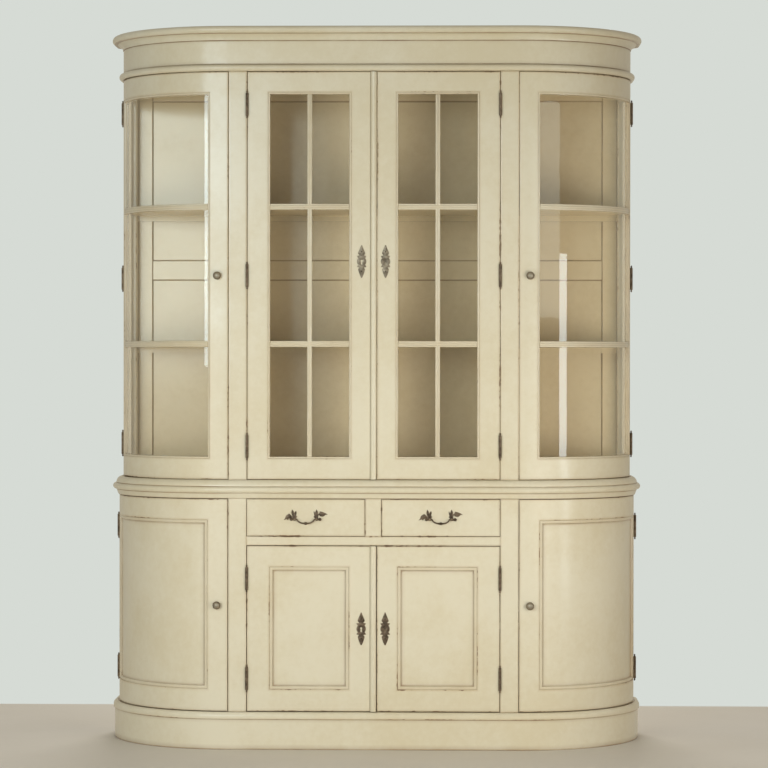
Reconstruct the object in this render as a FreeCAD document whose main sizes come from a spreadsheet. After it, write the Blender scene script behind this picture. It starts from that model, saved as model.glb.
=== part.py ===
import FreeCAD, Part
import math
import os
import re
import Sketcher

# Kitchen dresser: a glazed upper case on a lower case with cupboards and drawers, both with bowed ends.
# Floor at z = 0, centred on X, front towards -Y. Every length is in millimetres.

driving_sizes = {
    # Plan of the two cases
    "centre_half": 404,
    "stile_width": 58,
    "frame_thick": 25,
    "door_gap": 2,
    "upper_radius": 372,
    "lower_step": 13,
    "post_depth": 78,
    "post_width": 40,
    "partition_thick": 20,
    "case_back": 245,
    # Heights, from the floor up
    "plinth_height": 97,
    "base_height": 22,
    "cupboard_height": 530,
    "drawer_rail_height": 28.5,
    "drawer_space": 120.5,
    "lower_top_height": 29,
    "upper_base_height": 30,
    "upper_height": 1301,
    "bead_height": 21,
    "frieze_height": 77,
    "cornice_height": 44,
    # Plinth and base moulding
    "plinth_step": 15,
    "plinth_thick": 20,
    "base_lip": 19,
    "base_nose": 9,
    "base_shoulder": 6,
    # Waist moulding
    "waist_foot": 4,
    "waist_foot_height": 17.5,
    "waist_lip": 11,
    "waist_roll_height": 20.5,
    "waist_shoulder": 4,
    # Frieze, bead and cornice
    "frieze_thick": 20,
    "bead_step": 3.5,
    "cornice_seat": 10,
    "cornice_foot": 2,
    "cove_height": 20,
    "cove_reach": 20,
    "cornice_fillet": 2,
    "dust_top_thick": 10,
    # Backs, shelves and cleats
    "lower_back_thick": 12,
    "back_frame_thick": 20,
    "back_panel_thick": 8,
    "back_panel_inset": 8,
    "back_end_stile": 48,
    "back_stile": 60,
    "back_rail": 60,
    "back_middle_rail": 65,
    "back_middle_rise": 680,
    "shelf_thick": 19,
    "shelf_clear": 3,
    "cleat_height": 18.5,
    "cleat_depth": 12,
    "lower_shelf_rise": 265,
    # Glazed doors
    "hinge_stile": 72,
    "meeting_line": 78,
    "meeting_bead_radius": 10,
    "glazed_top_rail": 71,
    "glazed_bottom_rail": 72,
    "low_bar_rise": 433,
    "high_bar_rise": 870,
    "bar_height": 19,
    "upright_bar_width": 15,
    "bar_inset": 3,
    "bar_depth": 16,
    "glass_inset": 12,
    "glass_thick": 3,
    # Bowed doors
    "bow_meeting_stile": 66,
    "bow_hinge_stile": 40,
    # Panelled doors
    "panel_top_rail": 67,
    "panel_bottom_rail": 70,
    "panel_inset": 10,
    "panel_thick": 9,
    "panel_bead_width": 11,
    "panel_bead_depth": 7,
    # Drawers
    "drawer_post_width": 51,
    "drawer_gap": 1.5,
    "drawer_front_thick": 22,
    "drawer_back_clear": 41,
    "drawer_side_thick": 12,
    "drawer_side_height": 92,
    "drawer_bottom_thick": 6,
    "drawer_bottom_rise": 8,
    "run_clear": 0.3,
    "dust_board_thick": 12,
    "guide_height": 22,
    # Hinges
    "hinge_length": 88,
    "hinge_inset": 104,
    "hinge_tip_length": 8,
    "hinge_tip_radius": 2.8,
    "knuckle_radius": 4.5,
    "knuckle_clear": 0.3,
    "hinge_pin_radius": 2.5,
    "hinge_pin_clear": 0.05,
    "hinge_pin_length": 30,
    "leaf_thick": 1.2,
    "leaf_depth": 18,
    # Knobs
    "knob_radius": 13,
    "knob_length": 24,
    "knob_rose_radius": 9,
    "knob_rose_thick": 3,
    "knob_stem_radius": 5,
    "knob_neck": 10,
    "knob_brow": 14,
    # Keyhole plates
    "plate_half_height": 52.5,
    "plate_half_width": 15.5,
    "plate_thick": 2.5,
    "plate_inset": 28,
    "upper_plate_rise": 45,
    "keyhole_radius": 2.6,
    "keyhole_slot_width": 3,
    "keyhole_slot_length": 9,
    # Drawer pulls
    "pull_span": 70,
    "pull_rise": 5,
    "mount_reach": 38,
    "mount_rise": 26,
    "mount_thick": 3,
    "mount_post_radius": 4.5,
    "mount_post_length": 15,
    "bail_stand_off": 10,
    "bail_wire_radius": 2,
    "bail_wire_clear": 0.08,
    "bail_side_clear": 1,
    "bail_drop": 14,
    "bail_elbow_radius": 2.6,
    "bail_bead_radius": 3.6,
    "bail_berry_radius": 4.6,
    # Shared cutting overrun
    "overrun": 5,
}

# Right half of the keyhole plate's edge, as shares of its half width and half height, from the top down
plate_edge_shares = [
    (0.08, 1),
    (0.24, 0.88),
    (0.47, 0.7),
    (0.74, 0.46),
    (0.42, 0.38),
    (0.97, 0.33),
    (0.62, 0.19),
    (0.95, 0),
    (0.66, -0.19),
    (1, -0.33),
    (0.46, -0.38),
    (0.7, -0.47),
    (0.56, -0.62),
    (0.3, -0.82),
    (0.12, -1),
]

# Edge of a pull's leaf mount, as shares of its reach and rise from its post: side leaf, then upright leaf
mount_edge_shares = [
    (-0.14, -0.26),
    (0.2, -0.26),
    (0.3, 0.02),
    (0.62, -0.04),
    (1, 0.36),
    (0.7, 0.66),
    (0.36, 0.46),
    (0.24, 0.66),
    (0.08, 1),
    (-0.04, 0.72),
    (-0.17, 0.8),
    (-0.12, 0.42),
    (-0.22, 0.16),
]

# The left mount of each pull sits tipped over by this many degrees
left_mount_tilt = 22
quarter_turn = 90
half_turn = 180
full_turn = 360
sides = {"left": -1, "right": 1}

doc = FreeCAD.newDocument("kitchen_dresser")
sheet = doc.addObject("Spreadsheet::Sheet", "sizes")
for row, (alias, number) in enumerate(driving_sizes.items(), 1):
    sheet.set(f"A{row}", alias)
    sheet.set(f"B{row}", str(number))
    sheet.setAlias(f"B{row}", alias)
doc.recompute()

# Places worked out from the driving sizes
bow_x = "(centre_half + stile_width + door_gap)"
bow_y = "(case_back - post_depth - door_gap)"
lower_radius = "(upper_radius + lower_step)"
upper_front = f"({bow_y} - upper_radius)"
lower_front = f"({bow_y} - {lower_radius})"
lower_bottom = "(plinth_height + base_height)"
rail_bottom = f"({lower_bottom} + cupboard_height)"
rail_top = f"({rail_bottom} + drawer_rail_height)"
waist_bottom = f"({rail_top} + drawer_space)"
waist_middle = f"({waist_bottom} + lower_top_height)"
upper_bottom = f"({waist_middle} + upper_base_height)"
upper_top = f"({upper_bottom} + upper_height)"
frieze_bottom = f"({upper_top} + bead_height)"
cornice_bottom = f"({frieze_bottom} + frieze_height)"
bar_rises = ["low_bar_rise", "high_bar_rise"]


def worded(text):
    # Size words in an expression point at the sheet; pi, the degree and function names stay as they are
    return re.sub(r"\b(?!(?:pi|deg)\b)[a-z]\w+\b(?!\()", r"sizes.\g<0>", text)


def value(text):
    return float(sheet.evalExpression(worded(text)))


def bind(thing, **texts):
    for name, text in texts.items():
        thing.setExpression(name, worded(text))
    return thing


def place(thing, x="0", y="0", z="0", turn=None):
    for axis, text in zip("xyz", (x, y, z)):
        thing.setExpression(f"Placement.Base.{axis}", worded(text))
    if turn is not None:
        thing.setExpression("Placement.Rotation.Angle", worded(turn))
    return thing


def spread(side, near, far):
    # X faces of a board between two distances from the middle, on one side of it
    return (near, far) if side > 0 else (f"-({far})", f"-({near})")


def board(x0, x1, y0, y1, z0, z1):
    thing = doc.addObject("Part::Box", "board")
    bind(thing, Length=f"({x1}) - ({x0})", Width=f"({y1}) - ({y0})", Height=f"({z1}) - ({z0})")
    return place(thing, x0, y0, z0)


def rod(radius, length, x="0", y="0", z="0", axis=FreeCAD.Vector(0, 0, 1)):
    thing = bind(doc.addObject("Part::Cylinder", "rod"), Radius=radius, Height=length)
    thing.Placement = FreeCAD.Placement(FreeCAD.Vector(), FreeCAD.Rotation(FreeCAD.Vector(0, 0, 1), axis))
    return place(thing, x, y, z)


def ball(radius, x="0", y="0", z="0"):
    # Its poles lie along X, in line with the wire that enters it
    thing = bind(doc.addObject("Part::Sphere", "ball"), Radius=radius)
    turned = FreeCAD.Rotation(FreeCAD.Vector(0, 1, 0), quarter_turn)
    thing.Placement = FreeCAD.Placement(FreeCAD.Vector(), turned)
    return place(thing, x, y, z)


def fuse(things):
    joined = doc.addObject("Part::MultiFuse", "joined")
    joined.Shapes = things
    joined.Refine = True
    return joined


def cut(thing, tool):
    trimmed = doc.addObject("Part::Cut", "trimmed")
    trimmed.Base = thing
    trimmed.Tool = tool
    return trimmed


def copy_of(thing, x, y, z, turn="0"):
    link = doc.addObject("App::Link", "copy")
    link.LinkedObject = thing
    link.LinkTransform = True
    return place(link, x, y, z, turn)


def bend(side, outer, inner, start, sweep, z0, z1):
    # A bent board about one end's centre; start and sweep are degrees round from the front
    turn = f"({start}) - {quarter_turn}" if side > 0 else f"-{quarter_turn} - ({start}) - ({sweep})"
    height = f"({z1}) - ({z0})"
    wall = doc.addObject("Part::Cylinder", "wall")
    bind(wall, Radius=outer, Height=height, Angle=sweep)
    place(wall, f"{side} * {bow_x}", bow_y, z0, turn)
    hollow = rod(inner, f"{height} + 2 * overrun", f"{side} * {bow_x}", bow_y, f"({z0}) - overrun")
    return cut(wall, hollow)


def quarter_disc(side, radius, z0, z1):
    disc = doc.addObject("Part::Cylinder", "quarter")
    bind(disc, Radius=radius, Height=f"({z1}) - ({z0})", Angle=str(quarter_turn))
    turn = -quarter_turn if side > 0 else half_turn
    return place(disc, f"{side} * {bow_x}", bow_y, z0, str(turn))


def deck(radius, z0, z1):
    # A full-width board with quarter-round front corners
    slab = [board(f"-{bow_x}", bow_x, f"{bow_y} - {radius}", "case_back", z0, z1)]
    for side in sides.values():
        slab.append(quarter_disc(side, radius, z0, z1))
        slab.append(board(*spread(side, bow_x, f"{bow_x} + {radius}"), bow_y, "case_back", z0, z1))
    return fuse(slab)


def ring(outer, inner, z0, z1):
    # Upright boards round the plan: front, back, two bent corners and two short sides
    thick = f"({outer} - {inner})"
    boards = [
        board(f"-{bow_x}", bow_x, f"{bow_y} - {outer}", f"{bow_y} - {inner}", z0, z1),
        board(f"-{bow_x} - {inner}", f"{bow_x} + {inner}", f"case_back - {thick}", "case_back", z0, z1),
    ]
    for side in sides.values():
        boards.append(bend(side, outer, inner, "0", str(quarter_turn), z0, z1))
        x_faces = spread(side, f"{bow_x} + {inner}", f"{bow_x} + {outer}")
        boards.append(board(*x_faces, bow_y, "case_back", z0, z1))
    return boards


def arc_between(start, end, centre_x):
    # Circle arc between two points whose centre has the given first coordinate, and which end comes first
    run = (centre_x - end.x) ** 2 - (centre_x - start.x) ** 2 + end.y ** 2 - start.y ** 2
    centre = FreeCAD.Vector(centre_x, run / (2 * (end.y - start.y)), 0)
    from_start = start - centre
    from_end = end - centre
    forwards = from_start.cross(from_end).z > -Part.Precision.confusion()
    first, last = (from_start, from_end) if forwards else (from_end, from_start)
    circle = Part.Circle(centre, FreeCAD.Vector(0, 0, 1), from_start.Length)
    arc = Part.ArcOfCircle(circle, math.atan2(first.y, first.x), math.atan2(last.y, last.x))
    return arc, (1, 2) if forwards else (2, 1)


def outline(body, plane_role, points):
    # Closed sketch through points (x, y), or (x, y, centre x) where an arc leaves the point
    sketch = body.newObject("Sketcher::SketchObject", "outline")
    plane = next(feature for feature in body.Origin.OriginFeatures if feature.Role == plane_role)
    sketch.AttachmentSupport = [(plane, "")]
    sketch.MapMode = "FlatFace"
    spots = [FreeCAD.Vector(value(point[0]), value(point[1]), 0) for point in points]
    ends = []
    for number, point in enumerate(points):
        start = spots[number]
        end = spots[(number + 1) % len(points)]
        line, order = Part.LineSegment(start, end), (1, 2)
        if len(point) == 3:
            line, order = arc_between(start, end, value(point[2]))
        sketch.addGeometry(line)
        ends.append(order)

    def hold(kind, number, spot, text):
        index = sketch.addConstraint(Sketcher.Constraint(kind, -1, 1, number, spot, value(text)))
        sketch.setExpression(f"Constraints[{index}]", worded(text))

    for number, point in enumerate(points):
        before = number - 1 if number else len(points) - 1
        meeting = (before, ends[before][1], number, ends[number][0])
        sketch.addConstraint(Sketcher.Constraint("Coincident", *meeting))
        hold("DistanceX", number, ends[number][0], point[0])
        hold("DistanceY", number, ends[number][0], point[1])
        if len(point) == 3:
            hold("DistanceX", number, 3, point[2])
    return sketch


def padded(plane_role, points, length, backwards=False):
    body = doc.addObject("PartDesign::Body", "padded")
    pad = body.newObject("PartDesign::Pad", "pad")
    pad.Profile = outline(body, plane_role, points)
    pad.Reversed = backwards
    bind(pad, Length=length)
    return body


def revolved(points, angle):
    body = doc.addObject("PartDesign::Body", "revolved")
    sketch = outline(body, "XZ_Plane", points)
    turning = body.newObject("PartDesign::Revolution", "turning")
    turning.Profile = sketch
    turning.ReferenceAxis = (sketch, ["V_Axis"])
    turning.Angle = angle
    return body


def moulding(points, z0):
    # One profile as a front length, two bent corners and two short returns
    side_depth = f"case_back - {bow_y}"
    lengths = [place(padded("YZ_Plane", points, f"2 * {bow_x}"), bow_x, bow_y, z0, str(half_turn))]
    for side in sides.values():
        corner_turn = -quarter_turn if side > 0 else half_turn
        centre = f"{side} * {bow_x}"
        lengths.append(place(revolved(points, quarter_turn), centre, bow_y, z0, str(corner_turn)))
        side_turn = 0 if side > 0 else half_turn
        side_length = padded("XZ_Plane", points, side_depth, side > 0)
        lengths.append(place(side_length, centre, bow_y, z0, str(side_turn)))
    return lengths


def arc_degrees(width, radius):
    return f"({width}) / {radius} * {half_turn} / pi"


nodes = {}


def node(label, things):
    # One named node, of one solid or of a group of separate solids
    whole = things[0]
    if len(things) > 1:
        whole = doc.addObject("Part::Compound", label)
        whole.Links = things
    whole.Label = label
    nodes[label] = whole


# Plinth, base and decks
plinth_radius = f"({lower_radius} + plinth_step)"
base_edge = f"{lower_radius} + base_lip"
base_shoulder_edge = f"{lower_radius} + base_shoulder"
node("plinth", ring(plinth_radius, f"({plinth_radius} - plinth_thick)", "0", "plinth_height"))
node("base_board", [deck(lower_radius, "plinth_height", lower_bottom)])
base_profile = [
    (lower_radius, "0"),
    (base_edge, "0"),
    (base_edge, "base_nose", base_shoulder_edge),
    (base_shoulder_edge, "base_height"),
    (lower_radius, "base_height"),
]
node("base_moulding", moulding(base_profile, "plinth_height"))
node("lower_top", [deck("upper_radius", waist_bottom, waist_middle)])
node("upper_base", [deck("upper_radius", waist_middle, upper_bottom)])
node("top_board", [deck("upper_radius", upper_top, frieze_bottom)])

# Waist moulding: sloping foot, half-round roll and rounded shoulder
waist_height = "lower_top_height + upper_base_height"
waist_edge = f"{lower_radius} + waist_lip"
roll_top = "waist_foot_height + waist_roll_height"
waist_profile = [
    ("upper_radius", "0"),
    (f"{lower_radius} + waist_foot", "0"),
    (waist_edge, "waist_foot_height", waist_edge),
    (waist_edge, roll_top, "upper_radius + waist_shoulder"),
    ("upper_radius + waist_shoulder", waist_height),
    ("upper_radius", waist_height),
]
node("waist_moulding", moulding(waist_profile, waist_bottom))

# Frieze with its half-round bead, cornice and the dust board that it hides
bead_edge = "upper_radius + bead_step"
bead_profile = [
    ("upper_radius", "0"),
    (bead_edge, "0", bead_edge),
    (bead_edge, "bead_height"),
    ("upper_radius", "bead_height"),
]
frieze_boards = ring("upper_radius", "(upper_radius - frieze_thick)", frieze_bottom, cornice_bottom)
node("frieze", frieze_boards + moulding(bead_profile, upper_top))
cornice_inside = "(upper_radius - cornice_seat)"
cove_start = "upper_radius + cornice_foot"
cove_end = f"{cove_start} + cove_reach"
cornice_edge = f"{cove_end} + cornice_fillet"
cornice_profile = [
    (cornice_inside, "0"),
    (cove_start, "0", cove_end),
    (cove_end, "cove_height"),
    (cornice_edge, "cove_height", cornice_edge),
    (cornice_edge, "cornice_height"),
    (cornice_inside, "cornice_height"),
]
node("cornice", moulding(cornice_profile, cornice_bottom))
node("dust_top", [deck(cornice_inside, cornice_bottom, f"{cornice_bottom} + dust_top_thick")])

# Front stiles, drawer rail and drawer post
outer_edge = "(centre_half + stile_width)"
lower_inside = f"{lower_front} + frame_thick"
upper_inside = f"{upper_front} + frame_thick"
lower_frame = []
upper_stiles = []
for side in sides.values():
    faces = spread(side, "centre_half", outer_edge)
    lower_frame.append(board(*faces, lower_front, lower_inside, lower_bottom, waist_bottom))
    upper_stiles.append(board(*faces, upper_front, upper_inside, upper_bottom, upper_top))
lower_frame.append(board("-centre_half", "centre_half", lower_front, lower_inside, rail_bottom, rail_top))
half_post = "drawer_post_width / 2"
lower_frame.append(board(f"-{half_post}", half_post, lower_front, lower_inside, rail_top, waist_bottom))
node("lower_face_frame", lower_frame)
node("upper_stiles", upper_stiles)

# Partitions, end posts and backs
lower_back_face = "(case_back - lower_back_thick)"
upper_back_face = "(case_back - back_frame_thick)"
partition_edge = "(centre_half + partition_thick)"
lower_post_face = f"({bow_x} + {lower_radius} - post_width)"
upper_post_face = f"({bow_x} + upper_radius - post_width)"
post_front = f"{bow_y} + door_gap"
partitions = []
posts = []
for side in sides.values():
    faces = spread(side, "centre_half", partition_edge)
    partitions.append(board(*faces, lower_inside, lower_back_face, lower_bottom, waist_bottom))
    partitions.append(board(*faces, upper_inside, upper_back_face, upper_bottom, upper_top))
    lower_faces = spread(side, lower_post_face, f"{bow_x} + {lower_radius}")
    upper_faces = spread(side, upper_post_face, f"{bow_x} + upper_radius")
    posts.append(board(*lower_faces, post_front, "case_back", lower_bottom, waist_bottom))
    posts.append(board(*upper_faces, post_front, "case_back", upper_bottom, upper_top))
node("partitions", partitions)
node("end_posts", posts)
lower_post_faces = (f"-{lower_post_face}", lower_post_face)
node("lower_back", [board(*lower_post_faces, lower_back_face, "case_back", lower_bottom, waist_bottom)])


def framed_back():
    # Upright stiles the full height, three rails and two panels in each of the three bays
    inner = "(centre_half + partition_thick / 2 - back_stile / 2)"
    outer = f"({inner} + back_stile)"
    end = f"({upper_post_face} - back_end_stile)"
    panel_front = f"{upper_back_face} + back_panel_inset"
    middle_low = f"({upper_bottom} + back_middle_rise - back_middle_rail / 2)"
    middle_high = f"({middle_low} + back_middle_rail)"
    bottom = f"({upper_bottom} + back_rail)"
    top = f"({upper_top} - back_rail)"
    pieces = []
    for side in sides.values():
        for faces in (spread(side, inner, outer), spread(side, end, upper_post_face)):
            pieces.append(board(*faces, upper_back_face, "case_back", upper_bottom, upper_top))
    for faces in (spread(-1, outer, end), (f"-{inner}", inner), spread(1, outer, end)):
        for z_faces in ((upper_bottom, bottom), (middle_low, middle_high), (top, upper_top)):
            pieces.append(board(*faces, upper_back_face, "case_back", *z_faces))
        for z_faces in ((bottom, middle_low), (middle_high, top)):
            pieces.append(board(*faces, panel_front, f"{panel_front} + back_panel_thick", *z_faces))
    return pieces


node("upper_back", framed_back())


def end_shelf(side, radius, post_face, back_face, z0, z1):
    # Quarter-round shelf from the partition to the bowed door, notched round the end post
    reach = f"({radius} - frame_thick - shelf_clear)"
    front = f"{bow_y} - {reach}"
    return fuse([
        board(*spread(side, partition_edge, bow_x), front, back_face, z0, z1),
        quarter_disc(side, reach, z0, z1),
        board(*spread(side, bow_x, post_face), bow_y, back_face, z0, z1),
    ])


shelves = []
middle_faces = ("-centre_half", "centre_half")
shelf_levels = [f"{upper_bottom} + {rise}" for rise in bar_rises]
for level in shelf_levels:
    low = f"({level} - shelf_thick / 2)"
    high = f"({low} + shelf_thick)"
    cleat_low = f"{low} - cleat_height"
    cleat_front = f"{upper_back_face} - cleat_depth"
    shelves.append(board(*middle_faces, f"{upper_inside} + shelf_clear", upper_back_face, low, high))
    shelves.append(board(*middle_faces, cleat_front, upper_back_face, cleat_low, low))
    for side in sides.values():
        shelves.append(end_shelf(side, "upper_radius", upper_post_face, upper_back_face, low, high))
        cleat_faces = spread(side, partition_edge, upper_post_face)
        shelves.append(board(*cleat_faces, cleat_front, upper_back_face, cleat_low, low))
low = f"({lower_bottom} + lower_shelf_rise)"
high = f"({low} + shelf_thick)"
shelves.append(board(*middle_faces, f"{lower_inside} + shelf_clear", lower_back_face, low, high))
for side in sides.values():
    shelves.append(end_shelf(side, lower_radius, lower_post_face, lower_back_face, low, high))
node("shelves", shelves)

# Dust board under the drawers, with the guide between them
dust_low = f"{rail_top} - dust_board_thick"
half_guide = f"({half_post} + drawer_gap - run_clear)"
guide_top = f"{rail_top} + guide_height"
node("drawer_runners", [
    board(*middle_faces, lower_inside, lower_back_face, dust_low, rail_top),
    board(f"-{half_guide}", half_guide, lower_inside, lower_back_face, rail_top, guide_top),
])


def hinge_leaves(hand):
    # Case leaf with barrel and pin below, door leaf with a bored barrel above, about the pin's axis
    half = "(hinge_length / 2)"
    tall = f"({half} - hinge_tip_length)"
    leaf_width = "knuckle_radius + knuckle_clear + leaf_depth"
    gap_face = "door_gap / 2"
    fixed = fuse([
        rod("knuckle_radius", tall, z=f"-{tall}"),
        rod("hinge_tip_radius", "hinge_tip_length", z=f"-{half}"),
        rod("hinge_pin_radius", "hinge_pin_length"),
        board(*spread(hand, f"{gap_face} - leaf_thick", gap_face), "0", leaf_width, f"-{tall}", "0"),
    ])
    barrel = fuse([
        rod("knuckle_radius", f"{tall} - knuckle_clear", z="knuckle_clear"),
        rod("hinge_tip_radius", "hinge_tip_length", z=tall),
        board(*spread(-hand, f"{gap_face} - leaf_thick", gap_face), "0", leaf_width, "knuckle_clear", tall),
    ])
    bore = rod("hinge_pin_radius + hinge_pin_clear", "hinge_pin_length + knuckle_clear")
    return fixed, cut(barrel, bore)


leaves = {hand: hinge_leaves(hand) for hand in sides.values()}
fixed_leaves = []


def hang(label, side, x, y, turn, z0, z1, middle):
    # Hinges of one door, set in from its lower and upper ends, with a third halfway where asked
    rises = [f"{z0} + hinge_inset", f"{z1} - hinge_inset"]
    if middle:
        rises.append(f"({z0} + {z1}) / 2")
    fixed, moving = leaves[side]
    for rise in rises:
        fixed_leaves.append(copy_of(fixed, x, y, rise, turn))
    node(f"{label}_hinge_leaves", [copy_of(moving, x, y, rise, turn) for rise in rises])


# Round knob turned about its own axis, made facing the front
knob = revolved([
    ("0", "0"),
    ("knob_rose_radius", "0"),
    ("knob_rose_radius", "knob_rose_thick"),
    ("knob_stem_radius", "knob_rose_thick"),
    ("knob_stem_radius", "knob_neck"),
    ("knob_radius", "knob_brow", "0"),
    ("0", "knob_length"),
], full_turn)
knob.Placement = FreeCAD.Placement(FreeCAD.Vector(), FreeCAD.Rotation(FreeCAD.Vector(1, 0, 0), quarter_turn))


def keyhole_plate():
    right = [(f"{x} * plate_half_width", f"{z} * plate_half_height") for x, z in plate_edge_shares]
    left = [(f"-{x} * plate_half_width", f"{z} * plate_half_height") for x, z in reversed(plate_edge_shares)]
    plate = padded("XZ_Plane", right + left, "plate_thick")
    deep = "plate_thick + 2 * overrun"
    half_slot = "keyhole_slot_width / 2"
    keyhole = fuse([
        rod("keyhole_radius", deep, y="overrun", axis=FreeCAD.Vector(0, -1, 0)),
        board(f"-{half_slot}", half_slot, "-plate_thick - overrun", "overrun", "-keyhole_slot_length", "0"),
    ])
    return cut(plate, keyhole)


plate = keyhole_plate()


def bowed_frame(side, radius, z0, z1, bottom_rail, top_rail, bars):
    # Bent stiles, rails and bars; gives the solids, the opening's angles and its stretches of height
    inner = f"({radius} - frame_thick)"
    near = arc_degrees("bow_meeting_stile", radius)
    far = f"{quarter_turn} - {arc_degrees('bow_hinge_stile', radius)}"
    span = f"({far}) - ({near})"
    low = f"({z0} + {bottom_rail})"
    high = f"({z1} - {top_rail})"
    pieces = [
        bend(side, radius, inner, "0", near, z0, z1),
        bend(side, radius, inner, far, f"{quarter_turn} - ({far})", z0, z1),
        bend(side, radius, inner, near, span, z0, low),
        bend(side, radius, inner, near, span, high, z1),
    ]
    edges = [low]
    bar_face = f"({radius} - bar_inset)"
    for bar in bars:
        bar_low = f"({bar} - bar_height / 2)"
        bar_high = f"({bar_low} + bar_height)"
        pieces.append(bend(side, bar_face, f"({bar_face} - bar_depth)", near, span, bar_low, bar_high))
        edges += [bar_low, bar_high]
    edges.append(high)
    return pieces, near, span, list(zip(edges[::2], edges[1::2]))


def bowed_door(name, side, case, radius, z0, z1):
    label = f"{case}_{name}_end_door"
    glazed = case == "upper"
    rails = ("glazed_bottom_rail", "glazed_top_rail") if glazed else ("panel_bottom_rail", "panel_top_rail")
    frame, near, span, stretches = bowed_frame(side, radius, z0, z1, *rails, shelf_levels if glazed else [])
    node(f"{label}_frame", frame)
    if glazed:
        face = f"({radius} - glass_inset)"
        panes = [bend(side, face, f"({face} - glass_thick)", near, span, *heights) for heights in stretches]
        node(f"{label}_glass", panes)
    else:
        face = f"({radius} - panel_inset)"
        bead = f"({face} + panel_bead_depth)"
        edge = arc_degrees("panel_bead_width", radius)
        low, high = stretches[0]
        bead_low = f"{low} + panel_bead_width"
        bead_high = f"{high} - panel_bead_width"
        node(f"{label}_panel", [
            bend(side, face, f"({face} - panel_thick)", near, span, low, high),
            bend(side, bead, face, near, span, low, bead_low),
            bend(side, bead, face, near, span, bead_high, high),
            bend(side, bead, face, near, edge, bead_low, bead_high),
            bend(side, bead, face, f"{near} + {span} - {edge}", edge, bead_low, bead_high),
        ])
    grip = arc_degrees("bow_meeting_stile / 2", radius)
    knob_x = f"{side} * ({bow_x} + {radius} * sin({grip}))"
    knob_y = f"{bow_y} - {radius} * cos({grip})"
    node(f"{label}_knob", [copy_of(knob, knob_x, knob_y, f"({z0} + {z1}) / 2", f"{side} * {grip}")])
    axis_x = f"{side} * ({bow_x} + {radius} + knuckle_radius + knuckle_clear)"
    axis_turn = str(side * quarter_turn)
    hang(label, side, axis_x, f"{bow_y} + door_gap / 2", axis_turn, z0, z1, glazed)


def flat_door(name, side, case, front, z0, z1):
    # The left door carries the half-round meeting bead on its edge; the right door shuts beside it
    label = f"{case}_{name}_centre_door"
    glazed = case == "upper"
    bottom_rail = "glazed_bottom_rail" if glazed else "panel_bottom_rail"
    top_rail = "glazed_top_rail" if glazed else "panel_top_rail"
    back = f"{front} + frame_thick"
    hinge_edge = "(centre_half - door_gap)"
    opening_edge = f"({hinge_edge} - hinge_stile)"
    meeting_edge = "meeting_bead_radius + door_gap" if side > 0 else "-meeting_bead_radius"
    low = f"({z0} + {bottom_rail})"
    high = f"({z1} - {top_rail})"
    opening = spread(side, "meeting_line", opening_edge)
    frame = [
        board(*spread(side, opening_edge, hinge_edge), front, back, z0, z1),
        board(*spread(side, meeting_edge, "meeting_line"), front, back, z0, z1),
        board(*opening, front, back, z0, low),
        board(*opening, front, back, high, z1),
    ]
    if side < 0:
        bead = doc.addObject("Part::Cylinder", "meeting_bead")
        bind(bead, Radius="meeting_bead_radius", Height=f"{z1} - {z0}", Angle=str(half_turn))
        frame.append(place(bead, "0", front, z0, str(half_turn)))
    if glazed:
        middle = f"((meeting_line + {opening_edge}) / 2)"
        half_bar = "upright_bar_width / 2"
        bar_front = f"{front} + bar_inset"
        bar_back = f"{bar_front} + bar_depth"
        upright = spread(side, f"{middle} - {half_bar}", f"{middle} + {half_bar}")
        frame.append(board(*upright, bar_front, bar_back, low, high))
        columns = (
            spread(side, "meeting_line", f"{middle} - {half_bar}"),
            spread(side, f"{middle} + {half_bar}", opening_edge),
        )
        edges = [low]
        for bar in shelf_levels:
            edges += [f"({bar} - bar_height / 2)", f"({bar} + bar_height / 2)"]
        edges.append(high)
        glass = (f"{front} + glass_inset", f"{front} + glass_inset + glass_thick")
        panes = []
        for column in columns:
            for bar_faces in zip(edges[1::2], edges[2::2]):
                frame.append(board(*column, bar_front, bar_back, *bar_faces))
            for pane_faces in zip(edges[::2], edges[1::2]):
                panes.append(board(*column, *glass, *pane_faces))
        node(f"{label}_glass", panes)
    else:
        panel_front = f"{front} + panel_inset"
        bead_front = f"{panel_front} - panel_bead_depth"
        bead_low = f"{low} + panel_bead_width"
        bead_high = f"{high} - panel_bead_width"
        near_bead = spread(side, "meeting_line", "meeting_line + panel_bead_width")
        far_bead = spread(side, f"{opening_edge} - panel_bead_width", opening_edge)
        node(f"{label}_panel", [
            board(*opening, panel_front, f"{panel_front} + panel_thick", low, high),
            board(*opening, bead_front, panel_front, low, bead_low),
            board(*opening, bead_front, panel_front, bead_high, high),
            board(*near_bead, bead_front, panel_front, bead_low, bead_high),
            board(*far_bead, bead_front, panel_front, bead_low, bead_high),
        ])
    node(f"{label}_frame", frame)
    plate_x = f"{side} * (meeting_bead_radius + plate_inset)"
    plate_rise = f"({z0} + {z1}) / 2" + (" + upper_plate_rise" if glazed else "")
    node(f"{label}_keyhole_plate", [copy_of(plate, plate_x, front, plate_rise)])
    axis_x = f"{side} * (centre_half - door_gap / 2)"
    hang(label, side, axis_x, f"{front} - knuckle_radius - knuckle_clear", "0", z0, z1, glazed)


for name, side in sides.items():
    upper_heights = (f"({upper_bottom} + door_gap)", f"({upper_top} - door_gap)")
    bow_heights = (f"({lower_bottom} + door_gap)", f"({waist_bottom} - door_gap)")
    cupboard_heights = (f"({lower_bottom} + door_gap)", f"({rail_bottom} - door_gap)")
    bowed_door(name, side, "upper", "upper_radius", *upper_heights)
    bowed_door(name, side, "lower", lower_radius, *bow_heights)
    flat_door(name, side, "upper", upper_front, *upper_heights)
    flat_door(name, side, "lower", lower_front, *cupboard_heights)
node("case_hinge_leaves", fixed_leaves)


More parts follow.
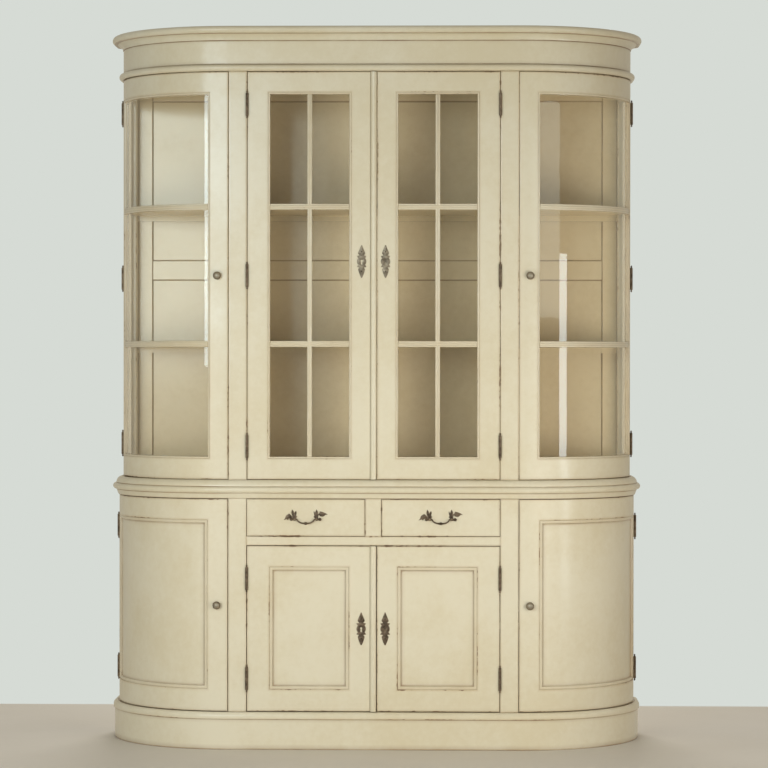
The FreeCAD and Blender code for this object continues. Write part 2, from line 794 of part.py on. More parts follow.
def drawer_box(side, near, far, bottom):
    # Two sides, a back and a bottom behind the drawer front
    front = f"({lower_front} + drawer_front_thick)"
    back = f"({lower_back_face} - drawer_back_clear)"
    top = f"{bottom} + drawer_side_height"
    near_inside = f"{near} + drawer_side_thick"
    far_inside = f"{far} - drawer_side_thick"
    back_inside = f"{back} - drawer_side_thick"
    inside = spread(side, near_inside, far_inside)
    floor_low = f"({bottom} + drawer_bottom_rise)"
    return [
        board(*spread(side, near, near_inside), front, back, bottom, top),
        board(*spread(side, far_inside, far), front, back, bottom, top),
        board(*inside, back_inside, back, bottom, top),
        board(*inside, front, back_inside, floor_low, f"{floor_low} + drawer_bottom_thick"),
    ]


def pull_mount(hand, tilt):
    # Leaf plate and bored post, made facing the front with the post's axis at the origin
    edge = [(f"{hand * x} * mount_reach", f"{z} * mount_rise") for x, z in mount_edge_shares]
    leaf = padded("XZ_Plane", edge, "mount_thick")
    leaf.Placement = FreeCAD.Placement(FreeCAD.Vector(), FreeCAD.Rotation(FreeCAD.Vector(0, -1, 0), tilt))
    post = rod("mount_post_radius", "mount_post_length", axis=FreeCAD.Vector(0, -1, 0))
    across = "mount_post_radius + overrun"
    bore = rod(
        "bail_wire_radius + bail_wire_clear", f"2 * ({across})", f"-({across})", "-bail_stand_off",
        axis=FreeCAD.Vector(1, 0, 0),
    )
    return cut(fuse([leaf, post]), bore)


def swinging_bail():
    # A bent wire with a bead at its middle, a pin through each post and a berry outside it
    post_clear = "(mount_post_radius + bail_side_clear)"
    half_chord = f"(pull_span / 2 - {post_clear} - bail_elbow_radius)"
    berry_place = f"(pull_span / 2 + {post_clear} + bail_berry_radius)"
    radius = f"(({half_chord} ^ 2 + bail_drop ^ 2) / (2 * bail_drop))"
    half_angle = f"asin({half_chord} / {radius})"
    upright = f"rotation(vector(1; 0; 0); {quarter_turn})"
    centred = f"rotation(vector(0; 0; 1); -{quarter_turn} - {half_angle} / 1 deg)"
    wire = doc.addObject("Part::Torus", "bail_wire")
    bind(wire, Radius1=radius, Radius2="bail_wire_radius", Angle3=f"2 * {half_angle}")
    bind(wire, Placement=f"placement(vector(0; 0; {radius} - bail_drop); {upright} * {centred})")
    pieces = [wire, ball("bail_bead_radius", z="-bail_drop")]
    for side in sides.values():
        outwards = FreeCAD.Vector(side, 0, 0)
        end_x = f"{side} * {half_chord}"
        pieces.append(ball("bail_elbow_radius", end_x))
        pieces.append(rod("bail_wire_radius", f"{berry_place} - {half_chord}", end_x, axis=outwards))
        pieces.append(ball("bail_berry_radius", f"{side} * {berry_place}"))
    return fuse(pieces)


mounts = {
    "left": pull_mount(-1, left_mount_tilt),
    "right": pull_mount(1, 0),
}
bail = swinging_bail()
for name, side in sides.items():
    near = f"({half_post} + drawer_gap)"
    far = "(centre_half - drawer_gap)"
    bottom = f"({rail_top} + run_clear)"
    front_low = f"({rail_top} + drawer_gap)"
    front_high = f"({waist_bottom} - door_gap)"
    front_faces = (lower_front, f"{lower_front} + drawer_front_thick")
    node(f"{name}_drawer_front", [board(*spread(side, near, far), *front_faces, front_low, front_high)])
    node(f"{name}_drawer_box", drawer_box(side, near, far, bottom))
    pull_x = f"{side} * ({near} + {far}) / 2"
    pull_z = f"({front_low} + {front_high}) / 2 - pull_rise"
    node(f"{name}_pull_mounts", [
        copy_of(mounts["left"], f"{pull_x} - pull_span / 2", lower_front, pull_z),
        copy_of(mounts["right"], f"{pull_x} + pull_span / 2", lower_front, pull_z),
    ])
    node(f"{name}_bail", [copy_of(bail, pull_x, f"{lower_front} - bail_stand_off", pull_z)])

doc.recompute()
for thing in doc.Objects:
    if "Invalid" in thing.State or "Error" in thing.State:
        raise RuntimeError(f"{thing.Label} did not build: {thing.State}")
shapes = {label: Part.getShape(thing) for label, thing in nodes.items()}
for label, shape in shapes.items():
    if shape.isNull() or not shape.isValid() or not shape.Solids:
        raise RuntimeError(f"{label} has no valid solid")
    if min(solid.Volume for solid in shape.Solids) <= 0:
        raise RuntimeError(f"{label} has a solid turned inside out")

os.makedirs("parts", exist_ok=True)
for label, shape in shapes.items():
    shape.exportStep(f"parts/{label}.step")
print(len(shapes), "nodes,", sum(len(shape.Solids) for shape in shapes.values()), "solids")
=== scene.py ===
import math

import bmesh
import bpy
from mathutils import Euler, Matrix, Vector
from mathutils.geometry import delaunay_2d_cdt


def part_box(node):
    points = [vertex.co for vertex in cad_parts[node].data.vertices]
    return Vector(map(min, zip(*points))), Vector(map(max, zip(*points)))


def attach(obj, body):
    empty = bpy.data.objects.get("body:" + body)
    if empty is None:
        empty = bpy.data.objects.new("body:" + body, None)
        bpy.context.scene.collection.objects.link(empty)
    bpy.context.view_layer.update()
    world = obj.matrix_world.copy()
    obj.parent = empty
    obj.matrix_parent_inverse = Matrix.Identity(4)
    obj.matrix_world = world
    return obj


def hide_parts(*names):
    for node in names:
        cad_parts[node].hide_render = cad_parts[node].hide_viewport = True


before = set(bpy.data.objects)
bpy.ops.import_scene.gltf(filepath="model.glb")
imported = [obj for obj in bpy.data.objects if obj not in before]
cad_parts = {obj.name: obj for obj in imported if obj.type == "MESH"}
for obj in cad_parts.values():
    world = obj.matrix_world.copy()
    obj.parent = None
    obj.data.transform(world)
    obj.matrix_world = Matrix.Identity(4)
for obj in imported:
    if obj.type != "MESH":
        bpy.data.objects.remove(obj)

scene = bpy.context.scene
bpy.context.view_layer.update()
mm = 0.001
handSide = {"left": -1, "right": 1}

# Places read from the frame
bowOf = {}
for case in ("upper", "lower"):
    low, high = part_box(f"{case}_right_end_door_frame")
    bowOf[case] = {"x": low.x, "y": high.y, "radius": high.x - low.x}
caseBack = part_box("end_posts")[1].y
frontOf = {"upper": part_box("upper_stiles")[0].y, "lower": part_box("lower_face_frame")[0].y}


def levels(node, measure, step=0.1 * mm):
    # The separate values that a measure takes over a node's corners
    values = {round(measure(corner.co) / step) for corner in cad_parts[node].data.vertices}
    return [value * step for value in sorted(values)]


def boardsOf(node, each=12):
    # Lowest and highest corner of each plain board in a node: every board is twelve triangles
    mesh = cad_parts[node].data
    boards = []
    for first in range(0, len(mesh.polygons), each):
        faces = mesh.polygons[first:first + each]
        corners = [mesh.vertices[c].co for face in faces for c in face.vertices]
        lowest = Vector([min(corner[axis] for corner in corners) for axis in range(3)])
        highest = Vector([max(corner[axis] for corner in corners) for axis in range(3)])
        boards.append((lowest, highest))
    return boards


# Shader helpers
def give(tree, socket, value):
    if isinstance(value, bpy.types.NodeSocket):
        tree.links.new(value, socket)
    elif value is not None:
        socket.default_value = value


def giveAll(tree, node, inputs):
    for name, value in inputs.items():
        give(tree, node.inputs[name], value)


def addNode(tree, kind, inputs=None, **settings):
    node = tree.nodes.new(kind)
    for name, value in settings.items():
        setattr(node, name, value)
    giveAll(tree, node, inputs or {})
    return node


def srgb(red, green, blue):
    # A colour as seen on screen, in the shader's own numbers
    def linear(channel):
        share = channel / 255
        return share / 12.92 if share <= 0.04045 else ((share + 0.055) / 1.055) ** 2.4
    return (linear(red), linear(green), linear(blue), 1.0)


def mixColour(tree, factor, first, second):
    inputs = {0: factor, 6: first, 7: second}     # a mix node's colour sockets go by number
    return addNode(tree, "ShaderNodeMix", inputs, data_type="RGBA").outputs[2]


def scaled(tree, value, factor, plus=None, clamp=False):
    # A value times a factor, with something added where it is given
    operation = "MULTIPLY" if plus is None else "MULTIPLY_ADD"
    inputs = {0: value, 1: factor, 2: plus}
    return addNode(tree, "ShaderNodeMath", inputs, operation=operation, use_clamp=clamp).outputs[0]


def larger(tree, first, second):
    return addNode(tree, "ShaderNodeMath", {0: first, 1: second}, operation="MAXIMUM").outputs[0]


def between(tree, value, low, high):
    # 0 below low, 1 above high, soft in the middle
    inputs = {"Value": value, "From Min": low, "From Max": high}
    return addNode(tree, "ShaderNodeMapRange", inputs, interpolation_type="SMOOTHSTEP").outputs["Result"]


def noise(tree, place, scale, detail=4.0, roughness=0.6):
    inputs = {"Vector": place, "Scale": scale, "Detail": detail, "Roughness": roughness}
    return addNode(tree, "ShaderNodeTexNoise", inputs).outputs["Fac"]


def shaderGroup(name, inputs, outputs):
    tree = bpy.data.node_groups.new(name, "ShaderNodeTree")
    for title, kind in inputs.items():
        tree.interface.new_socket(title, in_out="INPUT", socket_type="NodeSocket" + kind)
    for title, kind in outputs.items():
        tree.interface.new_socket(title, in_out="OUTPUT", socket_type="NodeSocket" + kind)
    return tree, tree.nodes.new("NodeGroupInput").outputs, tree.nodes.new("NodeGroupOutput").inputs


mottle = {"cloudDetail": 5.0, "fineDetail": 3.0, "fineRough": 0.7, "fineShare": 0.35, "from": 0.5, "to": 0.92}


def makeMottleGroup():
    # Cloudy change between two colours with a fine speckle over it
    inputs = {"Place": "Vector", "Base": "Color", "Stain": "Color", "Cloud Scale": "Float",
              "Speckle Scale": "Float", "Amount": "Float"}
    tree, given, result = shaderGroup("mottledColour", inputs, {"Color": "Color", "Cloud": "Float"})
    place = given["Place"]
    cloud = noise(tree, place, given["Cloud Scale"], mottle["cloudDetail"])
    speckle = noise(tree, place, given["Speckle Scale"], mottle["fineDetail"], mottle["fineRough"])
    mask = between(tree, scaled(tree, speckle, mottle["fineShare"], cloud), mottle["from"], mottle["to"])
    share = scaled(tree, mask, given["Amount"])
    tree.links.new(mixColour(tree, share, given["Base"], given["Stain"]), result["Color"])
    tree.links.new(mask, result["Cloud"])
    return tree


rubbing = {
    "patchScale": 5.5, "patchDetail": 3.0, "crumbDetail": 6.0, "crumbRough": 0.65, "crumbShare": 0.9,
    "edgeFrom": 0.1, "edgeTo": 0.4,         # wear at which chips may start, and where they all may be
    "bareFrom": 1.52, "bareTo": 1.64,       # wear, patches and crumbs together, as the paint goes
    "settleGain": 1.2, "settleLeast": 0.15,
}


def makeEdgeGroup():
    # Broken chips along rubbed edges, and dark lines that wander where glaze has settled; the same lines also
    # carry painted shade in gaps, quirks and the keyhole
    inputs = {"Place": "Vector", "Wear": "Float", "Glaze And Shade": "Float", "Chip Scale": "Float",
              "Chip Amount": "Float"}
    outputs = {"Chip": "Float", "Line": "Float", "Rub": "Float"}
    tree, given, result = shaderGroup("rubbedEdges", inputs, outputs)
    place = given["Place"]
    patches = noise(tree, place, rubbing["patchScale"], rubbing["patchDetail"])
    crumbs = noise(tree, place, given["Chip Scale"], rubbing["crumbDetail"], rubbing["crumbRough"])
    rough = scaled(tree, crumbs, rubbing["crumbShare"], patches)
    bare = scaled(tree, given["Wear"], given["Chip Amount"], rough)
    onEdge = between(tree, given["Wear"], rubbing["edgeFrom"], rubbing["edgeTo"])
    gone = between(tree, bare, rubbing["bareFrom"], rubbing["bareTo"])
    settled = scaled(tree, patches, rubbing["settleGain"], rubbing["settleLeast"], clamp=True)
    tree.links.new(scaled(tree, gone, onEdge), result["Chip"])
    tree.links.new(scaled(tree, given["Glaze And Shade"], settled), result["Line"])
    tree.links.new(scaled(tree, given["Wear"], patches), result["Rub"])
    return tree


mottleGroup = makeMottleGroup()
edgeGroup = makeEdgeGroup()


def startMaterial(name):
    material = bpy.data.materials.new(name)
    material.use_nodes = True
    tree = material.node_tree
    shader = next(node for node in tree.nodes if node.type == "BSDF_PRINCIPLED")
    place = addNode(tree, "ShaderNodeTexCoord").outputs["Object"]
    return material, tree, shader, place


def useGroup(tree, group, inputs):
    return addNode(tree, "ShaderNodeGroup", inputs, node_tree=group).outputs


def mottled(tree, place, base, stain, looks):
    return useGroup(tree, mottleGroup, {
        "Place": place, "Base": base, "Stain": stain, "Cloud Scale": looks["cloudScale"],
        "Speckle Scale": looks["speckleScale"], "Amount": looks["stainShare"]})


def edgeMasks(tree, place, looks):
    inputs = {"Place": place, "Chip Scale": looks["chipScale"], "Chip Amount": looks["chipAmount"]}
    for socket, mark in (("Wear", "wear"), ("Glaze And Shade", "glaze")):
        inputs[socket] = addNode(tree, "ShaderNodeAttribute", attribute_name=mark).outputs["Fac"]
    return useGroup(tree, edgeGroup, inputs)


def stretched(tree, place, scale):
    return addNode(tree, "ShaderNodeMapping", {"Vector": place, "Scale": scale}).outputs[0]


def emboss(tree, shader, relief, looks):
    inputs = {"Height": relief, "Strength": looks["bump"], "Distance": looks["bumpDepth"] * mm}
    tree.links.new(addNode(tree, "ShaderNodeBump", inputs).outputs[0], shader.inputs["Normal"])


paint = {
    "cream": srgb(221, 213, 189), "stain": srgb(207, 193, 158),
    # the inside colours are the cream tinted warmer: partly painted shade for the warm shade inside the case
    "insideShadedCream": srgb(230, 218, 188), "insideShadedStain": srgb(212, 195, 156),
    "rub": srgb(176, 144, 98), "glaze": srgb(126, 84, 44), "chip": srgb(108, 76, 46),
    "cloudScale": 2.6, "speckleScale": 46.0, "stainShare": 0.6, "rubShare": 0.55,
    "chipScale": 58.0, "chipAmount": 0.52, "chipShare": 0.9, "chipRough": 0.3, "chipDepth": -1.6,
    "roughness": 0.17, "cloudRough": 0.1, "strokeStretch": (1.0, 1.0, 0.12), "strokeScale": 170.0,
    "strokeDetail": 5.0, "strokeRough": 0.7, "waveScale": 24.0, "waveDetail": 2.0, "waveHeight": 3.5,
    "bump": 0.08, "bumpDepth": 0.4,
}


def creamPaint(name, base, stain):
    # Brushed paint: stained, rubbed, lined with glaze and with painted shade in gaps and quirks, and chipped
    material, tree, shader, place = startMaterial(name)
    clouds = mottled(tree, place, paint[base], paint[stain], paint)
    masks = edgeMasks(tree, place, paint)
    rubbed = mixColour(tree, scaled(tree, masks["Rub"], paint["rubShare"]), clouds["Color"], paint["rub"])
    lined = mixColour(tree, masks["Line"], rubbed, paint["glaze"])
    chipped = mixColour(tree, scaled(tree, masks["Chip"], paint["chipShare"]), lined, paint["chip"])
    gloss = scaled(tree, clouds["Cloud"], paint["cloudRough"], paint["roughness"])
    rough = scaled(tree, masks["Chip"], paint["chipRough"], gloss)
    giveAll(tree, shader, {"Base Color": chipped, "Roughness": rough})
    brushed = stretched(tree, place, paint["strokeStretch"])
    strokes = noise(tree, brushed, paint["strokeScale"], paint["strokeDetail"], paint["strokeRough"])
    waves = noise(tree, place, paint["waveScale"], paint["waveDetail"])
    relief = scaled(tree, waves, paint["waveHeight"], strokes)
    emboss(tree, shader, scaled(tree, masks["Chip"], paint["chipDepth"], relief), paint)
    return material


casting = {
    "cloudScale": 70.0, "speckleScale": 420.0, "stainShare": 0.9, "chipScale": 240.0, "chipAmount": 0.6,
    "rubShare": 0.9, "lineShare": 0.85, "cloudRough": 0.2, "metallic": 0.75, "pitScale": 900.0,
    "pitDetail": 3.0, "bump": 0.25, "bumpDepth": 0.2,
}


def metal(name, base, dark, bright, roughness):
    # Aged casting: dark in the hollows, rubbed brighter on the edges
    material, tree, shader, place = startMaterial(name)
    clouds = mottled(tree, place, base, dark, casting)
    masks = edgeMasks(tree, place, casting)
    lit = mixColour(tree, scaled(tree, masks["Rub"], casting["rubShare"]), clouds["Color"], bright)
    lined = mixColour(tree, scaled(tree, masks["Line"], casting["lineShare"]), lit, dark)
    rough = scaled(tree, clouds["Cloud"], casting["cloudRough"], roughness)
    giveAll(tree, shader, {"Base Color": lined, "Roughness": rough, "Metallic": casting["metallic"]})
    emboss(tree, shader, noise(tree, place, casting["pitScale"], casting["pitDetail"]), casting)
    return material


glass = {"tint": (1.0, 0.98, 0.94, 1.0), "shade": (0.985, 0.97, 0.94, 1.0), "index": 1.45,
         "waveScale": 9.0, "waveDetail": 1.0, "bump": 0.12, "bumpDepth": 2.0}


def paneGlass():
    # Clear drawn glass with a faint wave; lamps pass through it unbent
    material, tree, shader, place = startMaterial("paneGlass")
    giveAll(tree, shader, {"Base Color": glass["tint"], "Roughness": 0.0, "IOR": glass["index"],
                           "Transmission Weight": 1.0})
    emboss(tree, shader, noise(tree, place, glass["waveScale"], glass["waveDetail"]), glass)
    clear = addNode(tree, "ShaderNodeBsdfTransparent", {"Color": glass["shade"]}).outputs[0]
    rays = addNode(tree, "ShaderNodeLightPath").outputs
    through = larger(tree, rays["Is Shadow Ray"], rays["Is Diffuse Ray"])
    mix = addNode(tree, "ShaderNodeMixShader", {0: through, 1: shader.outputs[0], 2: clear})
    output = next(node for node in tree.nodes if node.type == "OUTPUT_MATERIAL")
    tree.links.new(mix.outputs[0], output.inputs["Surface"])
    return material


pine = {
    "pale": srgb(205, 172, 124), "yearLine": srgb(166, 124, 76), "rub": srgb(140, 102, 62),
    "grain": (9.0, 0.9, 9.0), "cloudScale": 3.2, "speckleScale": 60.0, "stainShare": 0.9, "rubShare": 0.5,
    "chipScale": 60.0, "chipAmount": 0.3, "roughness": 0.5, "cloudRough": 0.15, "bump": 0.2, "bumpDepth": 0.3,
}


def bareWood():
    # Unpainted pine: long grain along the boards with darker year lines
    material, tree, shader, place = startMaterial("bareWood")
    grain = stretched(tree, place, pine["grain"])
    clouds = mottled(tree, grain, pine["pale"], pine["yearLine"], pine)
    masks = edgeMasks(tree, place, pine)
    rubbed = mixColour(tree, scaled(tree, masks["Rub"], pine["rubShare"]), clouds["Color"], pine["rub"])
    rough = scaled(tree, clouds["Cloud"], pine["cloudRough"], pine["roughness"])
    giveAll(tree, shader, {"Base Color": rubbed, "Roughness": rough})
    emboss(tree, shader, clouds["Cloud"], pine)
    return material


finish = {
    "cream_paint": creamPaint("creamPaint", "cream", "stain"),
    "pane_glass": paneGlass(),
    "bare_wood": bareWood(),
    "aged_bronze": metal("agedBronze", srgb(131, 113, 94), srgb(65, 54, 45), srgb(172, 154, 128), 0.38),
}
# A warmer copy of the cream paint for boards inside the case: partly paint yellowed inside, partly painted
# shade for the warm shade that falls there
insideShadedPaint = creamPaint("insideShadedPaint", "insideShadedCream", "insideShadedStain")
pewter = metal("greyBronze", srgb(160, 148, 128), srgb(92, 80, 66), srgb(205, 196, 178), 0.34)
print("finishes made:", len(bpy.data.materials))


# Mesh helpers
class Shell:
    # Gathers corners with their share of rubbed edge and of settled glaze
    def __init__(self):
        self.points = []
        self.faces = []
        self.wear = []
        self.glaze = []

    def add(self, place, wear=0.0, glaze=0.0):
        self.points.append(Vector(place))
        self.wear.append(wear)
        self.glaze.append(glaze)
        return len(self.points) - 1

    def mesh(self, name):
        mesh = bpy.data.meshes.new(name)
        mesh.from_pydata(self.points, [], self.faces)
        mesh.attributes.new("wear", "FLOAT", "POINT").data.foreach_set("value", self.wear)
        mesh.attributes.new("glaze", "FLOAT", "POINT").data.foreach_set("value", self.glaze)
        return mesh


def setPiece(name, shape, body, slot, nodes, material=None, sharp=40):
    # Turns a shape's faces outwards, smooths it and seats it on its body
    mesh = shape.mesh(name) if isinstance(shape, Shell) else shape
    work = bmesh.new()
    work.from_mesh(mesh)
    bmesh.ops.recalc_face_normals(work, faces=work.faces)
    work.to_mesh(mesh)
    work.free()
    mesh.shade_smooth()
    mesh.set_sharp_from_angle(angle=math.radians(sharp))
    mesh.materials.clear()
    mesh.materials.append(material or finish[slot])
    piece = bpy.data.objects.new(name, mesh)
    scene.collection.objects.link(piece)
    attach(piece, body)
    if nodes:
        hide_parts(*nodes)


def along(profile, distance):
    # A profile's depth, wear and glaze at a distance from its edge
    last = profile[0]
    for point in profile:
        if point[0] >= distance:
            span = point[0] - last[0]
            share = (distance - last[0]) / span if span else 0.0
            return [a + (b - a) * share for a, b in zip(last[1:], point[1:])]
        last = point
    return list(last[1:])


def inMm(profile):
    return [(a * mm, b * mm, wear, glaze) for a, b, wear, glaze in profile]


throatShadeAndGlaze = 0.4        # how dark the gap beside a door or a drawer front is lined: brown glaze together with painted shade for the shadow in the gap
hair = 1e-7              # lengths under this count as nothing
boardEdge = {
    "most": 0.3,                            # share of a board's side that its rounding may take
    "firstCut": 0.3,                        # share of the rounding at which it starts to turn
    "room": 2.2,                            # sides this many times rounding and fade have room to fade
    "throatFrom": 0.2, "throatTo": 1.01,    # shares of the rounding and of the fade
}


def addBoard(shell, low, high, rounding=1.2 * mm, fade=5 * mm, wear=1.0, glaze=0.0, throat=False):
    # A board with eased edges; throat darkens the sides just behind its front face, glaze together with
    # painted shade in the gap
    eases = [min(rounding, (high[a] - low[a]) * boardEdge["most"]) for a in range(3)]
    inner = [(low[a] + eases[a], high[a] - eases[a]) for a in range(3)]
    cuts = []
    for axis, ease in enumerate(eases):
        length = high[axis] - low[axis]
        steps = [0.0, ease * boardEdge["firstCut"], ease]
        if length > boardEdge["room"] * (ease + fade):
            steps.append(ease + fade)
        cuts.append(steps + [length - step for step in reversed(steps)])
    made = {}

    def corner(*spot):
        if spot not in made:
            place = Vector([low[a] + cuts[a][spot[a]] for a in range(3)])
            core = Vector([min(max(place[a], inner[a][0]), inner[a][1]) for a in range(3)])
            off = place - core
            reach = max(abs(part) for part in off)
            near = sum(1 for a in range(3) if min(spot[a], len(cuts[a]) - 1 - spot[a]) <= 2)
            edge = 1.0 if near >= 2 else 0.0
            first, last = rounding * boardEdge["throatFrom"], rounding + fade * boardEdge["throatTo"]
            # dark walls in the gap: glaze together with painted shade
            dark = throatShadeAndGlaze if throat and first < place.y - low.y <= last else glaze * edge
            made[spot] = shell.add(core + off.normalized() * reach, wear * edge, dark)
        return made[spot]

    for axis in range(3):
        first, second = [a for a in range(3) if a != axis]
        for end in (0, len(cuts[axis]) - 1):
            for i in range(len(cuts[first]) - 1):
                for j in range(len(cuts[second]) - 1):
                    ring = []
                    for di, dj in ((0, 0), (1, 0), (1, 1), (0, 1)):
                        spot = [0, 0, 0]
                        spot[axis], spot[first], spot[second] = end, i + di, j + dj
                        ring.append(corner(*spot))
                    shell.faces.append(ring)


def mergedCuts(needed, extra=(), least=0.15 * mm, spare=3 * mm):
    # Sorted cuts without doubles; an extra cut stays only where it has room
    cuts = []
    for cut in sorted(needed):
        if not cuts or cut - cuts[-1] > least:
            cuts.append(cut)
    roomy = [cut for cut in extra if all(abs(cut - other) > spare for other in cuts)]
    return sorted(cuts + roomy)


def fromEdge(rect, u, v):
    return min(u - rect[0], rect[1] - u, v - rect[2], rect[3] - v)


def addLeaf(shell, uCuts, vCuts, front, back, openings, place, throat=(2.5 * mm, throatShadeAndGlaze)):
    # A door leaf on a grid of cuts: front and back faces follow their rules, openings stay clear
    columns, rows = len(uCuts) - 1, len(vCuts) - 1
    made = {}

    def kept(i, j):
        if not (0 <= i < columns and 0 <= j < rows):
            return False
        u, v = (uCuts[i] + uCuts[i + 1]) / 2, (vCuts[j] + vCuts[j + 1]) / 2
        return all(fromEdge(opening, u, v) < 0 for opening in openings)

    def corner(face, i, j):
        if (face, i, j) not in made:
            u, v = uCuts[i], vCuts[j]
            depth, wear, glaze = front(u, v)
            # the walls just behind a leaf's front are darkened: glaze in the gap together with painted shade
            # for the shadow there
            if face == "side":
                depth, wear, glaze = depth - throat[0], 0.0, throat[1]
            if face == "back":
                depth, wear, glaze = back(u, v), 0.0, 0.0
            made[face, i, j] = (shell.add(place(u, v, depth), wear, glaze), depth)
        return made[face, i, j]

    for i in range(columns):
        for j in range(rows):
            if not kept(i, j):
                continue
            spots = [(i, j), (i + 1, j), (i + 1, j + 1), (i, j + 1)]
            a, b, c, d = [corner("front", *spot) for spot in spots]
            flat = abs(a[1] + c[1] - b[1] - d[1]) < hair
            ring = [a[0], b[0], c[0], d[0]]
            if flat:
                shell.faces.append(ring)
            elif abs(b[1] - d[1]) < abs(a[1] - c[1]):     # the mitre runs through the odd corner
                shell.faces += [[ring[0], ring[1], ring[2]], [ring[0], ring[2], ring[3]]]
            else:
                shell.faces += [[ring[0], ring[1], ring[3]], [ring[1], ring[2], ring[3]]]
            shell.faces.append([corner("back", *spot)[0] for spot in reversed(spots)])
            for side, neighbour in enumerate(((i, j - 1), (i + 1, j), (i, j + 1), (i - 1, j))):
                if not kept(*neighbour):
                    ends = spots[side], spots[(side + 1) % 4]
                    for upper, lower in (("front", "side"), ("side", "back")):
                        shell.faces.append([corner(upper, *ends[1])[0], corner(upper, *ends[0])[0],
                                            corner(lower, *ends[0])[0], corner(lower, *ends[1])[0]])


def turned(shell, profile, base, across, up, out, steps=40):
    # A turned form about the line from base along out; profile holds radius, height, wear, and glaze together
    # with any painted shade
    rings = []
    for radius, height, wear, glaze in profile:
        centre = base + out * height
        if radius < hair:
            rings.append([shell.add(centre, wear, glaze)] * steps)
            continue
        angles = [2 * math.pi * step / steps for step in range(steps)]
        rings.append([shell.add(centre + (across * math.cos(a) + up * math.sin(a)) * radius, wear, glaze)
                      for a in angles])
    for inner, outer in zip(rings, rings[1:]):
        for step in range(steps):
            after = (step + 1) % steps
            ring = [inner[step], inner[after], outer[after], outer[step]]
            shell.faces.append(list(dict.fromkeys(ring)))


# Geometry node helpers
def shapeTree(name, sizes):
    tree = bpy.data.node_groups.new(name, "GeometryNodeTree")
    tree.interface.new_socket("Geometry", in_out="INPUT", socket_type="NodeSocketGeometry")
    for title, kind in sizes.items():
        tree.interface.new_socket(title, in_out="INPUT", socket_type="NodeSocket" + kind)
    tree.interface.new_socket("Geometry", in_out="OUTPUT", socket_type="NodeSocketGeometry")
    return tree, tree.nodes.new("NodeGroupInput").outputs


def shaped(tree, kind, inputs=None, **settings):
    return addNode(tree, "GeometryNode" + kind, inputs, **settings).outputs[0]


def vector(tree, x=0.0, y=0.0, z=0.0):
    return addNode(tree, "ShaderNodeCombineXYZ", {"X": x, "Y": y, "Z": z}).outputs[0]


def endTree(tree, given, geometry):
    real = shaped(tree, "RealizeInstances", {0: geometry})
    painted = shaped(tree, "SetMaterial", {"Geometry": real, "Material": given["Finish"]})
    tree.links.new(painted, tree.nodes.new("NodeGroupOutput").inputs[0])
    return tree


def grown(name, mesh, tree, values):
    # Runs a node tree on a mesh and keeps the result as a plain mesh
    guide = bpy.data.objects.new(name + "_guide", mesh)
    scene.collection.objects.link(guide)
    modifier = guide.modifiers.new("shape", "NODES")
    modifier.node_group = tree
    sockets = {item.name: item.identifier for item in tree.interface.items_tree if item.in_out == "INPUT"}
    for title, value in values.items():
        modifier[sockets[title]] = value
    graph = bpy.context.evaluated_depsgraph_get()
    result = bpy.data.meshes.new_from_object(guide.evaluated_get(graph), preserve_all_data_layers=True,
                                             depsgraph=graph)
    guide.modifiers.remove(modifier)
    bpy.data.objects.remove(guide)
    result.name = name
    return result


def markedMesh(name, places, edges, marks):
    # Loose corners and edges with named numbers on each corner
    mesh = bpy.data.meshes.new(name)
    mesh.from_pydata(places, edges, [])
    for title, values in marks.items():
        mesh.attributes.new(title, "FLOAT", "POINT").data.foreach_set("value", values)
    return mesh


def sweepTree():
    # A moulding profile swept along the plan of the case, round both bows
    tree, given = shapeTree("sweptMoulding", {
        "Profile": "Object", "Bow Radius": "Float", "Bow Steps": "Int", "Finish": "Material"})
    plan = shaped(tree, "MeshToCurve", {"Mesh": given["Geometry"]})
    corners = {"Curve": plan, "Radius": given["Bow Radius"], "Count": given["Bow Steps"]}
    rounded = shaped(tree, "FilletCurve", corners, mode="POLY")
    level = shaped(tree, "SetCurveNormal", {"Curve": rounded}, mode="Z_UP")
    source = addNode(tree, "GeometryNodeObjectInfo", {"Object": given["Profile"]})
    profile = shaped(tree, "MeshToCurve", {"Mesh": source.outputs["Geometry"]})
    swept = shaped(tree, "CurveToMesh", {"Curve": level, "Profile Curve": profile, "Fill Caps": True})
    return endTree(tree, given, swept)


mouldingTree = sweepTree()


def arcPoints(reach, rise, wide, tall, start, end, steps, wear=0.0, glaze=0.0):
    # Points on an arc about (reach, rise), from one angle to another in degrees
    angles = [math.radians(start + (end - start) * step / steps) for step in range(steps + 1)]
    return [(reach + wide * math.cos(a), rise + tall * math.sin(a), wear, glaze) for a in angles]


mouldings = {
    "bowSteps": 56, "sharp": 50, "plinthStep": 15, "plinthThick": 20, "plinthWear": 0.4,
    "baseLip": 19, "baseNose": 9, "baseShoulder": 6,
    "waistFoot": 4, "waistLip": 11, "footHeight": 17.5, "rollHeight": 20.5, "waistShoulder": 4,
    "beadStep": 3.5, "friezeThick": 20, "corniceSeat": 10, "corniceFoot": 2, "cove": 20, "corniceFillet": 2,
}


